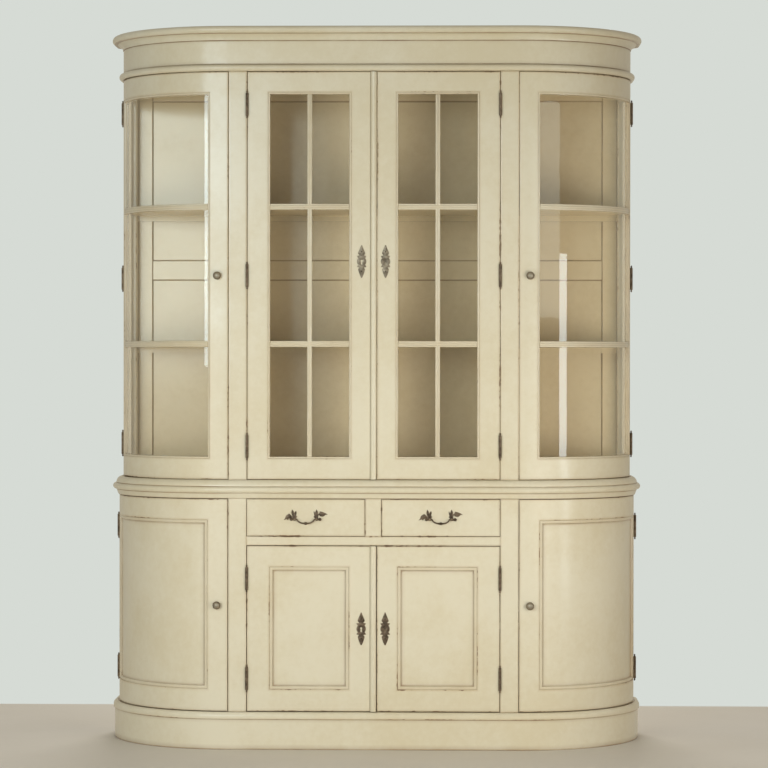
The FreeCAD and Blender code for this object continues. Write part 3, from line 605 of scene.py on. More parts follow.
def sweep(name, case, outline, rise, nodes):
    # Outline holds reach past the case's face, height, wear, and glaze together with painted shade, from the
    # inside round to the outside
    bow = bowOf[case]
    edge, front = bow["x"] + bow["radius"], bow["y"] - bow["radius"]
    count = len(outline)
    places = [(reach * mm, -height * mm, 0.0) for reach, height, *_ in outline]
    ring = [(step, (step + 1) % count) for step in range(count)]
    marks = {"wear": [point[2] for point in outline], "glaze": [point[3] for point in outline]}
    holder = bpy.data.objects.new(name + "_profile", markedMesh(name + "_profile", places, ring, marks))
    run = [(-edge, caseBack, rise), (-edge, front, rise), (edge, front, rise), (edge, caseBack, rise)]
    plan = markedMesh(name + "_plan", run, [(0, 1), (1, 2), (2, 3)], {})
    values = {"Profile": holder, "Bow Radius": bow["radius"], "Bow Steps": mouldings["bowSteps"],
              "Finish": finish["cream_paint"]}
    mesh = grown(name, plan, mouldingTree, values)
    bpy.data.objects.remove(holder)
    setPiece(name, mesh, "case", "cream_paint", nodes, sharp=mouldings["sharp"])


def footAndHeight(node):
    # A node's foot in metres and its height in mm
    low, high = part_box(node)
    return low.z, (high.z - low.z) / mm


def plinth():
    rise, tall = footAndHeight("plinth")
    out = mouldings["plinthStep"]
    back = out - mouldings["plinthThick"]
    sweep("plinth_board", "lower", [
        # the front's lowest few mm and its underside edge are darkened: painted contact shade along the floor
        (back, 0, 0, 0), (out - 0.7, 0, 0, 0.9), (out, 0.8, 0.4, 0.8), (out, 5, 0, 0.3), (out, 18, 0, 0),
        (out, tall - 12, 0, 0), (out, tall - 4, 0, 0.15), (out, tall, 0, 0.9), (back, tall, 0, 0),
    ], rise, ["plinth"])
    low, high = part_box("plinth")
    thick = mouldings["plinthThick"] * mm
    first, last = Vector((low.x + thick, high.y - thick, low.z)), Vector((high.x - thick, high.y, high.z))
    shell = Shell()
    addBoard(shell, first, last, wear=mouldings["plinthWear"])
    setPiece("plinth_back", shell, "case", "cream_paint", ["plinth"])


def baseNosing():
    rise, tall = footAndHeight("base_moulding")
    out, lip = mouldings["plinthStep"], mouldings["baseLip"]
    nose, shoulder = mouldings["baseNose"], mouldings["baseShoulder"]
    sweep("base_nosing", "lower", [
        (0, 0, 0, 0.5), (out, 0, 0, 1), (lip - 1.3, 0, 0.3, 0.7), (lip - 0.3, 0.4, 1, 0.3),
        (lip, 1.5, 0.9, 0), (lip, 4.5, 0.2, 0),
        *arcPoints(shoulder, nose, lip - shoulder, tall - nose, 4, 88, 12),
        (shoulder - 0.6, tall, 0, 1), (0, tall, 0, 1),
    ], rise, ["base_moulding"])


def waistRolls():
    rise, tall = footAndHeight("waist_moulding")
    step = (bowOf["upper"]["radius"] - bowOf["lower"]["radius"]) / mm
    foot, lip, roll = mouldings["waistFoot"], mouldings["waistLip"], mouldings["rollHeight"] / 2
    seam = mouldings["footHeight"]
    crown = seam + 2 * roll
    top = step + mouldings["waistShoulder"]
    sweep("waist_rolls", "lower", [
        (step, 0, 0, 0.8), (foot - 0.9, 0, 0.1, 1), (foot, 0.9, 0.8, 0.3), (foot + 0.8, 3, 0.2, 0),
        (foot + 3, seam * 0.5, 0, 0), (lip - 1.4, seam - 2.2, 0, 0.1), (lip - 0.8, seam - 0.8, 0, 0.8),
        (lip - 1.2, seam, 0, 1),
        *arcPoints(lip, seam + roll, roll, roll - 0.3, -84, 84, 16, 0.12),
        (lip - 1.2, crown, 0, 1), (lip - 0.5, crown + 0.9, 0, 0.7),
        *arcPoints(top, crown, lip - top - 0.4, tall - crown, 6, 86, 14),
        (top, tall, 0, 0.9), (step, tall, 0, 1),
    ], rise, ["waist_moulding"])


def frieze():
    rise, whole = footAndHeight("frieze")
    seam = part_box("top_board")[1].z
    edge, tall = mouldings["beadStep"], (seam - rise) / mm
    half = tall / 2
    sweep("frieze_bead", "upper", [
        (0, 0, 0, 1), (edge - 0.6, 0, 0, 1),
        *arcPoints(edge, half, half, half - 0.3, -84, 84, 14, 0.15),
        (edge - 0.6, tall, 0, 1), (0, tall, 0, 1),
    ], rise, ["frieze"])
    tall = whole - tall
    back = -mouldings["friezeThick"]
    sweep("frieze_boards", "upper", [
        (back, 0, 0, 0), (-0.9, 0, 0, 1), (0, 0.8, 0, 0.7), (0, 5, 0, 0.08), (0, 13, 0, 0),
        (0, tall - 11, 0, 0), (0, tall - 4, 0, 0.1), (0, tall - 0.8, 0, 0.7), (-0.9, tall, 0, 1),
        (back, tall, 0, 0),
    ], seam, ["frieze"])


def cornice():
    rise, tall = footAndHeight("cornice")
    foot, cove, seat = mouldings["corniceFoot"], mouldings["cove"], mouldings["corniceSeat"]
    edge = foot + cove + mouldings["corniceFillet"]
    nose = (tall - cove) / 2
    sweep("cornice_moulding", "upper", [
        (-seat, 0, 0, 0), (foot - 1, 0, 0, 1), (foot - 0.2, 0.5, 0.5, 0.5),
        *arcPoints(foot + cove, 0, cove, cove, 176, 104, 11),
        # the dark line under the nose is partly glaze in the quirk and partly painted shade under the
        # overhang
        (foot + cove - 2, cove - 0.1, 0.2, 0.7), (foot + cove, cove, 0, 1), (edge - 0.8, cove + 0.2, 0, 1),
        *arcPoints(edge, cove + nose, nose, nose - 0.3, -84, -66, 2, 0, 0.6),
        *arcPoints(edge, cove + nose, nose, nose - 0.3, -56, 90, 14, 0.1),
        (-seat, tall - 0.3, 0, 0),
    ], rise, ["cornice"])


for makeMoulding in (plinth, baseNosing, waistRolls, frieze, cornice):
    makeMoulding()
print("mouldings swept")

# Boards made anew, with how they are rubbed and lined; inside ones have the warmer, partly shade-painted
# inside paint
plainBoards = {
    "lower_face_frame": {"slot": "cream_paint", "wear": 1.0, "throat": True},
    "upper_stiles": {"slot": "cream_paint", "wear": 1.0, "throat": True},
    "partitions": {"slot": "cream_paint", "wear": 0.6, "inside": True},
    "end_posts": {"slot": "cream_paint", "wear": 0.9},
    "lower_back": {"slot": "cream_paint", "wear": 0.4, "glaze": 0.8},
    "upper_back": {"slot": "cream_paint", "wear": 0.3, "glaze": 0.65, "fade": 2, "inside": True},
    "drawer_runners": {"slot": "bare_wood", "wear": 1.0},
}
# CAD boards that stay and only have their edges eased, and whether they are seen inside
keptBoards = {"base_board": False, "lower_top": False, "dust_top": False, "upper_base": True,
              "top_board": True, "shelves": True}
easing = {"width": 1.2 * mm, "segments": 2, "angle": 40, "trayRounding": 1.5 * mm}


def makeBoards():
    for node, looks in plainBoards.items():
        shell = Shell()
        for low, high in boardsOf(node):
            addBoard(shell, low, high, fade=looks.get("fade", 5) * mm, wear=looks["wear"],
                     glaze=looks.get("glaze", 0.0), throat=looks.get("throat", False))
        look = insideShadedPaint if looks.get("inside") else None
        setPiece(node + "_boards", shell, "case", looks["slot"], [node], look)
    for name in handSide:
        shell = Shell()
        for low, high in boardsOf(f"{name}_drawer_box"):
            addBoard(shell, low, high, rounding=easing["trayRounding"])
        setPiece(f"{name}_drawer_tray", shell, f"{name}_drawer", "bare_wood", [f"{name}_drawer_box"])
    for node, seenInside in keptBoards.items():
        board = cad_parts[node]
        board.material_slots[0].material = insideShadedPaint if seenInside else finish["cream_paint"]
        ease = board.modifiers.new("easedEdges", "BEVEL")
        ease.width, ease.segments = easing["width"], easing["segments"]
        ease.limit_method, ease.angle_limit = "ANGLE", math.radians(easing["angle"])
    print("boards eased:", len(plainBoards) + len(handSide), "pieces")


makeBoards()

# Profiles across a door: distance from an edge, depth, wear and glaze
leafEdge = inMm([
    (0, -1.3, 0.6, 0.6), (0.4, -0.45, 1, 0.2), (1.5, 0, 1, 0), (3.2, 0, 0.7, 0), (5.5, 0, 0.2, 0),
    (9, 0, 0, 0)])
sashEdge = inMm([
    (0, -4.2, 0.8, 0.3), (0.8, -2.6, 0.9, 0.1), (2.4, -1.6, 0.35, 0), (4.4, -1.7, 0, 0.1),
    (5.5, -2.3, 0, 0.4), (6.3, -0.9, 0.5, 0.2), (7.2, 0, 0.9, 0), (9, 0, 0.6, 0), (11, 0, 0.15, 0),
    (15, 0, 0, 0)])
barEdge = inMm([
    (0, -4.4, 0.8, 0.4), (0.8, -3.4, 0.8, 0.1), (2.2, -3.0, 0.2, 0), (4.2, -3.1, 0, 0.1),
    (5.2, -3.6, 0, 0.35), (6.0, -3.0, 0.6, 0.15), (7.0, -2.4, 0.7, 0), (9.5, -2.1, 0.4, 0)])
panelFrameEdge = inMm([
    (0, -1.6, 0.4, 0.4), (0.5, -0.5, 1, 0.15), (1.6, 0, 1, 0), (3.4, 0, 0.7, 0), (6, 0, 0.2, 0),
    (9, 0, 0, 0)])
panelEdge = inMm([
    (0, -3.4, 0, 0.5), (0.7, -3.1, 0, 0.45), (1.4, -2.7, 0.2, 0.15), (3, -2.3, 0.5, 0), (5.3, -2.1, 0.6, 0),
    (7.6, -2.6, 0.5, 0), (9.2, -4.0, 0.4, 0.1), (10.2, -6.6, 0.1, 0.7), (10.9, -9.4, 0, 1),
    (12.4, -10, 0, 0.75), (17, -10, 0, 0.14), (28, -10, 0, 0)])
doors = {
    "frameThick": 25 * mm, "barBack": 19 * mm, "panelBack": 19 * mm, "barLanding": 0.8 * mm,
    "glassFace": 12 * mm, "glassThick": 3 * mm, "glassTuck": 1.2 * mm, "bendStep": 11 * mm,
    "meetingBead": 10 * mm, "beadRoot": 0.2 * mm, "beadQuirk": 1.4 * mm, "besideBead": (0.8 * mm, 2.4 * mm),
    "glazeFall": 0.45,        # share of a panel's glaze that is gone away from its corners
}
infillOf = {"upper": "_glass", "lower": "_panel"}
touching = 1e-6               # closer than this counts as the same place


def offsets(profile, limit=1.0):
    return [point[0] for point in profile if point[0] < limit]


def bendCuts(start, end, bend):
    # Even cuts that let a bowed leaf bend; a flat one needs none
    count = round((end - start) / bend) if bend else 0
    return [start + (end - start) * step / count for step in range(count)]


def frameLeaf(shell, rect, panes, glazed, place, bend=0.0, beadAt=None):
    # One door frame with its bars: rect and panes are lowest and highest u, then v
    whole = [pick(pane[side] for pane in panes) for side, pick in enumerate((min, max, min, max))]
    mouth = sashEdge if glazed else panelFrameEdge
    radius = doors["meetingBead"]

    def cuts(axis):
        start, end, first, last = rect[axis], rect[axis + 1], whole[axis], whole[axis + 1]
        needed = [start + step for step in offsets(leafEdge)] + [end - step for step in offsets(leafEdge)]
        needed += [first - step for step in offsets(mouth)] + [last + step for step in offsets(mouth)]
        edges = sorted({p[axis] for p in panes} | {p[axis + 1] for p in panes})
        if len(panes) > 1:
            needed += [first + doors["barLanding"], last - doors["barLanding"]]
        for lower, upper in zip(edges[1:-1:2], edges[2:-1:2]):       # each bar between two panes
            half = (upper - lower) / 2
            needed += [lower + step for step in offsets(barEdge, half)] + [lower + half]
            needed += [upper - step for step in offsets(barEdge, half)]
        return needed

    def front(u, v):
        depth, wear, glaze = along(leafEdge, fromEdge(rect, u, v))
        gap = -fromEdge(whole, u, v)
        if gap < -touching:
            across = min(max(p[0] - u, u - p[1], p[2] - v, v - p[3], 0.0) for p in panes)
            inset = along(barEdge, across)
        else:
            inset = along(mouth, max(gap, 0.0))
        depth, wear, glaze = depth + inset[0], max(wear, inset[1]), max(glaze, inset[2])
        if beadAt is not None and abs(u - beadAt) <= radius + touching:
            depth, wear, glaze = math.sqrt(max(radius ** 2 - (u - beadAt) ** 2, 0.0)), 0.0, 0.0
            # the quirks at the bead's roots are darkened, the right more than the left: partly glaze, partly
            # painted shade beside the bead
            if abs(abs(u - beadAt) - radius) < doors["beadRoot"]:
                depth -= doors["beadQuirk"]
                glaze = 1.0 if u > beadAt else 0.6
        return depth, wear, glaze

    def back(u, v):
        return -doors["barBack"] if fromEdge(whole, u, v) > touching else -doors["frameThick"]

    across = cuts(0)
    if beadAt is not None:
        across = [cut for cut in across if abs(cut - beadAt) > radius]
        across += [beadAt + radius * math.sin(math.radians(turn)) for turn in range(-90, 91, 10)]
        across += [beadAt - radius - step for step in doors["besideBead"]]
    uCuts = mergedCuts(across, bendCuts(rect[0], rect[1], bend))
    addLeaf(shell, uCuts, mergedCuts(cuts(2)), front, back, panes, place)


def plainLeaf(shell, rect, profile, thick, place, bend=0.0):
    # A panel or drawer front whose face follows one profile in from its edges
    reach = profile[-1][0]

    def cuts(start, end):
        steps = offsets(profile, (end - start) / 2)
        return [start + step for step in steps] + [end - step for step in steps]

    def front(u, v):
        depth, wear, glaze = along(profile, fromEdge(rect, u, v))
        far = max(min(u - rect[0], rect[1] - u), min(v - rect[2], rect[3] - v))
        return depth, wear, glaze * (1 - doors["glazeFall"] * min(far / reach, 1))

    uCuts = mergedCuts(cuts(rect[0], rect[1]), bendCuts(rect[0], rect[1], bend))
    addLeaf(shell, uCuts, mergedCuts(cuts(rect[2], rect[3])), front, lambda u, v: -thick, [], place)


def glassLeaf(shell, panes, place, bend=0.0):
    # Thin panes tucked a little into their rebates
    tuck = doors["glassTuck"]
    face, rear = -doors["glassFace"], -doors["glassFace"] - doors["glassThick"]
    for u0, u1, v0, v1 in panes:
        count = max(round((u1 - u0) / bend), 1) if bend else 1
        uCuts = [u0 - tuck + (u1 - u0 + 2 * tuck) * step / count for step in range(count + 1)]
        addLeaf(shell, uCuts, [v0 - tuck, v1 + tuck], lambda u, v: (face, 0.0, 0.0), lambda u, v: rear, [],
                place, throat=(doors["glassThick"] / 2, 0.0))


def spans(infill, case, axis):
    # Lowest and highest edge of each row of panes, or of the one panel, along an axis
    if case == "upper":
        edges = levels(infill, lambda corner: corner[axis])
        return list(zip(edges[::2], edges[1::2]))
    low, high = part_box(infill)
    return [(low[axis], high[axis])]


def makeLeaf(case, label, rect, panes, place, bend=0.0, beadAt=None):
    # A door's sash, then its panes or its panel
    shell = Shell()
    frameLeaf(shell, rect, panes, case == "upper", place, bend, beadAt)
    setPiece(label + "_sash", shell, label, "cream_paint", [label + "_frame"])
    shell = Shell()
    if case == "upper":
        glassLeaf(shell, panes, place, bend / 2)
        setPiece(label + "_panes", shell, label, "pane_glass", [label + infillOf[case]])
    else:
        plainLeaf(shell, panes[0], panelEdge, doors["panelBack"], place, bend)
        setPiece(label + "_field", shell, label, "cream_paint", [label + infillOf[case]])


# A knob's radius, height, wear and glaze
knobProfile = inMm([
    (0, 0, 0, 0), (8.8, 0, 0, 0.9), (9.3, 1.0, 0.6, 0.2), (8.7, 2.4, 0.9, 0), (6.6, 3.1, 0.2, 0.4),
    (5, 4.2, 0, 0.9), (4.5, 7, 0, 0.6), (5.2, 9.4, 0, 0.9), (8.2, 10.6, 0, 0.6), (11.6, 12, 0.5, 0.2),
    (12.9, 13.8, 1, 0), (12.9, 15.4, 0.9, 0), (12, 16.6, 0.2, 0.9), (11.2, 17.6, 0.2, 0.5),
    (9.6, 20.2, 0.5, 0), (6.8, 22.6, 0.8, 0), (3.2, 23.8, 1, 0), (0, 24, 1, 0)])


def bowedDoor(case, name):
    side = handSide[name]
    label = f"{case}_{name}_end_door"
    bow = bowOf[case]
    radius = bow["radius"]

    def place(u, v, w):
        turn, far = u / radius, radius + w
        return (side * (bow["x"] + far * math.sin(turn)), bow["y"] - far * math.cos(turn), v)

    def roundBow(corner):
        return math.atan2(side * corner.x - bow["x"], bow["y"] - corner.y) * radius

    low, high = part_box(label + "_frame")
    infill = label + infillOf[case]
    first, *_, last = levels(infill, roundBow)
    panes = [(first, last, *tall) for tall in spans(infill, case, 2)]
    rect = (0.0, radius * math.pi / 2, low.z, high.z)
    makeLeaf(case, label, rect, panes, place, bend=doors["bendStep"])
    turn = first / 2 / radius
    outwards = Vector((side * math.sin(turn), -math.cos(turn), 0.0))
    sideways = Vector((math.cos(turn), side * math.sin(turn), 0.0))
    seat = Vector(place(first / 2, (low.z + high.z) / 2, 0.0))
    shell = Shell()
    turned(shell, knobProfile, seat, sideways, Vector((0.0, 0.0, 1.0)), outwards)
    setPiece(label + "_round_knob", shell, label, "aged_bronze", [label + "_knob"], pewter, sharp=60)


def centreDoor(case, name):
    label = f"{case}_{name}_centre_door"
    front = frontOf[case]
    low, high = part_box(label + "_frame")
    infill = label + infillOf[case]
    panes = [(*wide, *tall) for wide in spans(infill, case, 0) for tall in spans(infill, case, 2)]
    rect = (low.x, high.x, low.z, high.z)
    beadAt = high.x - doors["meetingBead"] if name == "left" else None
    makeLeaf(case, label, rect, panes, lambda u, v, w: (u, front - w, v), beadAt=beadAt)


for case in ("upper", "lower"):
    for name in handSide:
        bowedDoor(case, name)
        centreDoor(case, name)
print("doors built: 8")

hinge = {
    "halfLength": 44 * mm, "knuckle": 4.5 * mm, "clear": 0.3 * mm, "leafDepth": 22.8 * mm,
    "leafThick": 0.9 * mm, "leafShift": 0.5 * mm, "leafShare": 0.8, "inset": 104 * mm, "gap": 2 * mm,
    # The barrel from its tip to the middle of the hinge: share of the length, share of the radius
    "barrel": [(0, 0.2), (0.03, 0.45), (0.09, 0.62), (0.14, 0.44), (0.165, 0.5), (0.18, 0.92), (0.2, 1),
               (0.975, 1), (1, 0.9)],
}


def hingeTree():
    # Half a hinge: a barrel with a steeple tip, a leaf behind it, on every marked spot
    tree, given = shapeTree("hingeHalf", {
        "Half Length": "Float", "Knuckle Radius": "Float", "Leaf Depth": "Float", "Leaf Thick": "Float",
        "Leaf Shift": "Float", "Flip": "Float", "Finish": "Material"})
    start = vector(tree, z=scaled(tree, given["Half Length"], -1.0))
    line = shaped(tree, "CurvePrimitiveLine", {"Start": start, "End": (0.0, 0.0, 0.0)})
    steps = shaped(tree, "ResampleCurve", {"Curve": line, "Count": 64})
    share = addNode(tree, "GeometryNodeSplineParameter").outputs["Factor"]
    swell = addNode(tree, "ShaderNodeFloatCurve", {"Value": share})
    curve = swell.mapping.curves[0]
    first, *others, last = hinge["barrel"]
    curve.points[0].location, curve.points[1].location = first, last
    for other in others:
        curve.points.new(*other)
    for point in curve.points:
        point.handle_type = "VECTOR"
    swell.mapping.update()
    ring = shaped(tree, "CurvePrimitiveCircle", {"Resolution": 20, "Radius": given["Knuckle Radius"]})
    barrel = shaped(tree, "CurveToMesh", {"Curve": steps, "Profile Curve": ring, "Scale": swell.outputs[0],
                                          "Fill Caps": True})
    tall = scaled(tree, given["Half Length"], hinge["leafShare"])
    size = vector(tree, given["Leaf Thick"], given["Leaf Depth"], tall)
    leaf = shaped(tree, "MeshCube", {"Size": size})
    middle = scaled(tree, given["Leaf Depth"], 0.5)
    seat = vector(tree, given["Leaf Shift"], middle, scaled(tree, tall, -0.5))
    seated = shaped(tree, "Transform", {"Geometry": leaf, "Translation": seat})
    both = addNode(tree, "GeometryNodeJoinGeometry")
    for part in (seated, barrel):
        tree.links.new(part, both.inputs[0])
    turn, hand = [shaped(tree, "InputNamedAttribute", {"Name": mark}, data_type="FLOAT")
                  for mark in ("turn", "hand")]
    facing = vector(tree, y=given["Flip"], z=turn)
    mirror = vector(tree, hand, 1.0, 1.0)
    spots = shaped(tree, "InstanceOnPoints", {"Points": given["Geometry"], "Instance": both.outputs[0],
                                              "Rotation": facing, "Scale": mirror})
    return endTree(tree, given, spots)


def hingeLine(case, kind, side, low, high):
    # Where a door's pins stand in plan, and how far its hinges are turned
    stand = hinge["knuckle"] + hinge["clear"]
    if kind == "end":
        bow = bowOf[case]
        x = side * (bow["x"] + bow["radius"] + stand)
        return x, bow["y"] + hinge["gap"] / 2, side * math.pi / 2
    return side * (max(-low.x, high.x) + hinge["gap"] / 2), frontOf[case] - stand, 0.0


def makeHinges():
    tree = hingeTree()
    sizes = {"Half Length": hinge["halfLength"] - hinge["clear"] / 2, "Knuckle Radius": hinge["knuckle"],
             "Leaf Depth": hinge["leafDepth"], "Leaf Thick": hinge["leafThick"],
             "Leaf Shift": hinge["leafShift"], "Finish": finish["aged_bronze"]}

    def hang(name, body, node, spots, lifted, flip):
        places = [(x, y, rise + lifted) for x, y, rise, *_ in spots]
        marks = {"turn": [spot[3] for spot in spots], "hand": [spot[4] for spot in spots]}
        mesh = grown(name, markedMesh(body, places, [], marks), tree, {**sizes, "Flip": flip})
        setPiece(name, mesh, body, "aged_bronze", [node])

    hung = []
    for case in ("upper", "lower"):
        for name, side in handSide.items():
            for kind in ("end", "centre"):
                label = f"{case}_{name}_{kind}_door"
                low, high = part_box(label + "_frame")
                rises = [low.z + hinge["inset"], high.z - hinge["inset"]]
                if case == "upper":
                    rises.append((low.z + high.z) / 2)
                x, y, turn = hingeLine(case, kind, side, low, high)
                spots = [(x, y, rise, turn, float(side)) for rise in rises]
                hung += spots
                hang(label + "_hinges", label, label + "_hinge_leaves", spots, hinge["clear"], math.pi)
    hang("case_hinges", "case", "case_hinge_leaves", hung, 0.0, 0.0)
    print("hinges hung:", len(hung))


makeHinges()


# Cast plates
def smoothOutline(points, steps=4):
    # A closed outline through points (x, z), soft at plain points and cornered at marked ones
    count = len(points)
    outline = []
    for number in range(count):
        before, start, end, after = [points[(number + step) % count] for step in (-1, 0, 1, 2)]
        a, b = Vector(start[:2]), Vector(end[:2])
        leave = Vector((0, 0)) if start[2:] else (b - Vector(before[:2])) / 2
        arrive = Vector((0, 0)) if end[2:] else (Vector(after[:2]) - a) / 2
        for step in range(steps):
            t = step / steps
            outline.append(a * (2 * t ** 3 - 3 * t ** 2 + 1) + leave * (t ** 3 - 2 * t ** 2 + t)
                           + b * (3 * t ** 2 - 2 * t ** 3) + arrive * (t ** 3 - t ** 2))
    return outline


def inside(loop, x, z):
    crossed = False
    for a, b in zip(loop, loop[1:] + loop[:1]):
        if (a.y > z) != (b.y > z) and x < a.x + (z - a.y) * (b.x - a.x) / (b.y - a.y):
            crossed = not crossed
    return crossed


def rimDistance(loops, spot):
    nearest = 1e9
    for loop in loops:
        for a, b in zip(loop, loop[1:] + loop[:1]):
            run = b - a
            share = max(0.0, min(1.0, (spot - a).dot(run) / max(run.length_squared, 1e-12)))
            nearest = min(nearest, (a + run * share - spot).length)
    return nearest


def castPlate(outline, holes, spacing, rowShare=0.866):
    # Flat triangles that fill an outline round its holes, with each corner's distance from the rim, in mm
    loops = [outline] + holes
    points, edges = [], []
    for loop in loops:
        first = len(points)
        points += loop
        edges += [(first + n, first + (n + 1) % len(loop)) for n in range(len(loop))]

    def solid(spot):
        return inside(outline, *spot) and not any(inside(hole, *spot) for hole in holes)

    lowX, highX = min(p.x for p in outline), max(p.x for p in outline)
    lowZ, highZ = min(p.y for p in outline), max(p.y for p in outline)
    for row in range(int((highZ - lowZ) / spacing / rowShare) + 1):
        for column in range(int((highX - lowX) / spacing) + 2):
            spot = Vector((lowX + (column - 0.5 * (row % 2)) * spacing, lowZ + row * spacing * rowShare))
            if solid(spot) and rimDistance(loops, spot) > spacing * 0.5:
                points.append(spot)
    corners, _, triangles, *_ = delaunay_2d_cdt(points, edges, [], 0, 1e-6)
    kept = [list(triangle) for triangle in triangles
            if solid(sum((corners[c] for c in triangle), Vector((0, 0))) / 3)]
    return corners, kept, [rimDistance(loops, corner) for corner in corners]


def addCast(shell, cast, lift, place):
    # Front lifted by its rule, flat back, walls round every free edge
    corners, triangles, gaps = cast
    front, back = [], []
    for corner, gap in zip(corners, gaps):
        rise, wear, glaze = lift(corner, gap)
        front.append(shell.add(place(corner.x * mm, corner.y * mm, rise * mm), wear, glaze))
        back.append(shell.add(place(corner.x * mm, corner.y * mm, 0.0)))
    free = {}
    for triangle in triangles:
        shell.faces.append([front[c] for c in triangle])
        shell.faces.append([back[c] for c in reversed(triangle)])
        for a, b in zip(triangle, triangle[1:] + triangle[:1]):
            if (b, a) in free:
                del free[b, a]
            else:
                free[a, b] = True
    for a, b in free:
        shell.faces.append([front[b], front[a], back[a], back[b]])


frontFacing = (Vector((1, 0, 0)), Vector((0, 0, 1)), Vector((0, -1, 0)))      # across, up and outwards

keyPlate = {
    "halfWidth": 15.5, "halfHeight": 52.5, "spacing": 1.6, "rim": 0.9, "crown": 1.5, "crownRun": 1.8,
    "ripple": 0.18, "rippleRate": 0.42, "rippleRun": 3, "rimWear": 0.9, "wearRun": 0.8, "hollowGlaze": 0.5,
    "hollowFrom": 1.2, "nailRise": 31, "nailRadius": 2.3, "nailShare": 0.45,
    "holeTop": 3.2, "holeRise": 2, "holeSlot": 1.7, "holeFlare": 0.5, "holeLong": 9.5,
    # Right half of the edge from the top down, in shares of half width and half height; True marks a corner
    "edgeShares": [(0.1, 0.985), (0.2, 0.9), (0.45, 0.72), (0.7, 0.55), (0.72, 0.47),
                   (0.62, 0.43, True), (0.5, 0.4), (0.55, 0.36), (0.98, 0.34, True), (0.84, 0.25),
                   (0.7, 0.2, True), (0.9, 0.11), (0.97, 0), (0.9, -0.11), (0.7, -0.2, True),
                   (0.84, -0.25), (1, -0.345, True), (0.55, -0.36), (0.5, -0.4), (0.64, -0.43, True),
                   (0.7, -0.49), (0.62, -0.6), (0.42, -0.78), (0.22, -0.92), (0.12, -0.98)],
}
# the bush's ring round its pin is glazed fully dark: painted shade for the depth of the keyhole
bushProfile = inMm([
    (0, 0.1, 0, 1), (3.0, 0.1, 0, 1), (3.0, 1.6, 0, 1), (2.2, 1.7, 0, 1), (1.9, 0.9, 0, 1), (1.3, 0.9, 0, 1),
    (1.2, 2.2, 0.8, 0), (0.7, 2.6, 1, 0), (0, 2.7, 1, 0)])


def keyholeOutline():
    # A round head with a slot that widens downwards
    size = keyPlate
    head = arcPoints(0, size["holeRise"], size["holeTop"], size["holeTop"], -58, 238, 20)
    wide, foot = size["holeSlot"] + size["holeFlare"], -size["holeLong"]
    return [Vector(point[:2]) for point in head] + [Vector((-wide, foot)), Vector((wide, foot))]


def nailTree():
    # Flat domed nail heads on marked spots, facing the front
    sizes = {"Head Radius": "Float", "Head Share": "Float", "Finish": "Material"}
    tree, given = shapeTree("nailHeads", sizes)
    ball = shaped(tree, "MeshIcoSphere", {"Radius": given["Head Radius"], "Subdivisions": 3})
    flat = vector(tree, 1.0, given["Head Share"], 1.0)
    dark = shaped(tree, "StoreNamedAttribute", {"Geometry": ball, "Name": "glaze", "Value": 1.0})
    spots = shaped(tree, "InstanceOnPoints", {"Points": given["Geometry"], "Instance": dark, "Scale": flat})
    return endTree(tree, given, spots)


def plateLift(corner, gap):
    # A plate's height, wear and glaze at a distance from its rim
    size = keyPlate
    swell = 1 - math.exp(-gap / size["crownRun"])
    ripple = size["ripple"] * math.cos(corner.y * size["rippleRate"]) * min(gap / size["rippleRun"], 1)
    wear = size["rimWear"] * math.exp(-gap / size["wearRun"])
    glaze = size["hollowGlaze"] * (gap > size["hollowFrom"]) * (ripple < 0)
    return size["rim"] + size["crown"] * swell + ripple, wear, glaze


def fillKeyhole(shell, middle, face):
    # The lock's bush with its pin, and the slot below it; the bush's ring and a thin sheet filling the slot
    # are glazed dark, painted shade for the keyhole's depth
    size = keyPlate
    seat = Vector((middle.x, face, middle.z + size["holeRise"] * mm))
    turned(shell, bushProfile, seat, *frontFacing, steps=20)
    # a thin dark sheet fills the slot: painted shade where the real slot is an open hole
    slot = Vector((size["holeSlot"] + 1, 0.3, size["holeLong"] / 2 + 0.5)) * mm
    centre = Vector((middle.x, face - slot.y, middle.z + (0.5 - size["holeLong"] / 2) * mm))
    addBoard(shell, centre - slot, centre + slot, rounding=0.1 * mm, fade=0.1 * mm, wear=0.0, glaze=1.0)


def makeKeyPlates():
    size = keyPlate
    right = [(x * size["halfWidth"], z * size["halfHeight"], *mark) for x, z, *mark in size["edgeShares"]]
    outline = smoothOutline(right + [(-x, z, *mark) for x, z, *mark in reversed(right)])
    cast = castPlate(outline, [keyholeOutline()], size["spacing"])
    nails = nailTree()
    nailSizes = {"Head Radius": size["nailRadius"] * mm, "Head Share": size["nailShare"],
                 "Finish": finish["aged_bronze"]}
    for case in ("upper", "lower"):
        look = pewter if case == "upper" else finish["aged_bronze"]
        for name in handSide:
            label = f"{case}_{name}_centre_door"
            low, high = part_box(label + "_keyhole_plate")
            middle = (low + high) / 2
            shell = Shell()
            addCast(shell, cast, plateLift, lambda x, z, w: (middle.x + x, high.y - w, middle.z + z))
            if name == "right":     # the lock's bush fills the keyhole on this side
                fillKeyhole(shell, middle, high.y)
            setPiece(label + "_lock_plate", shell, label, "aged_bronze", [label + "_keyhole_plate"], look)
            face = high.y - (size["rim"] + size["crown"]) * mm
            spots = [(middle.x, face, middle.z + step * size["nailRise"] * mm) for step in (-1, 1)]
            mesh = grown(label + "_nails", markedMesh(label, spots, [], {}), nails, nailSizes)
            setPiece(label + "_plate_nails", mesh, label, "aged_bronze", [])
    print("keyhole plates cast: 4")


makeKeyPlates()

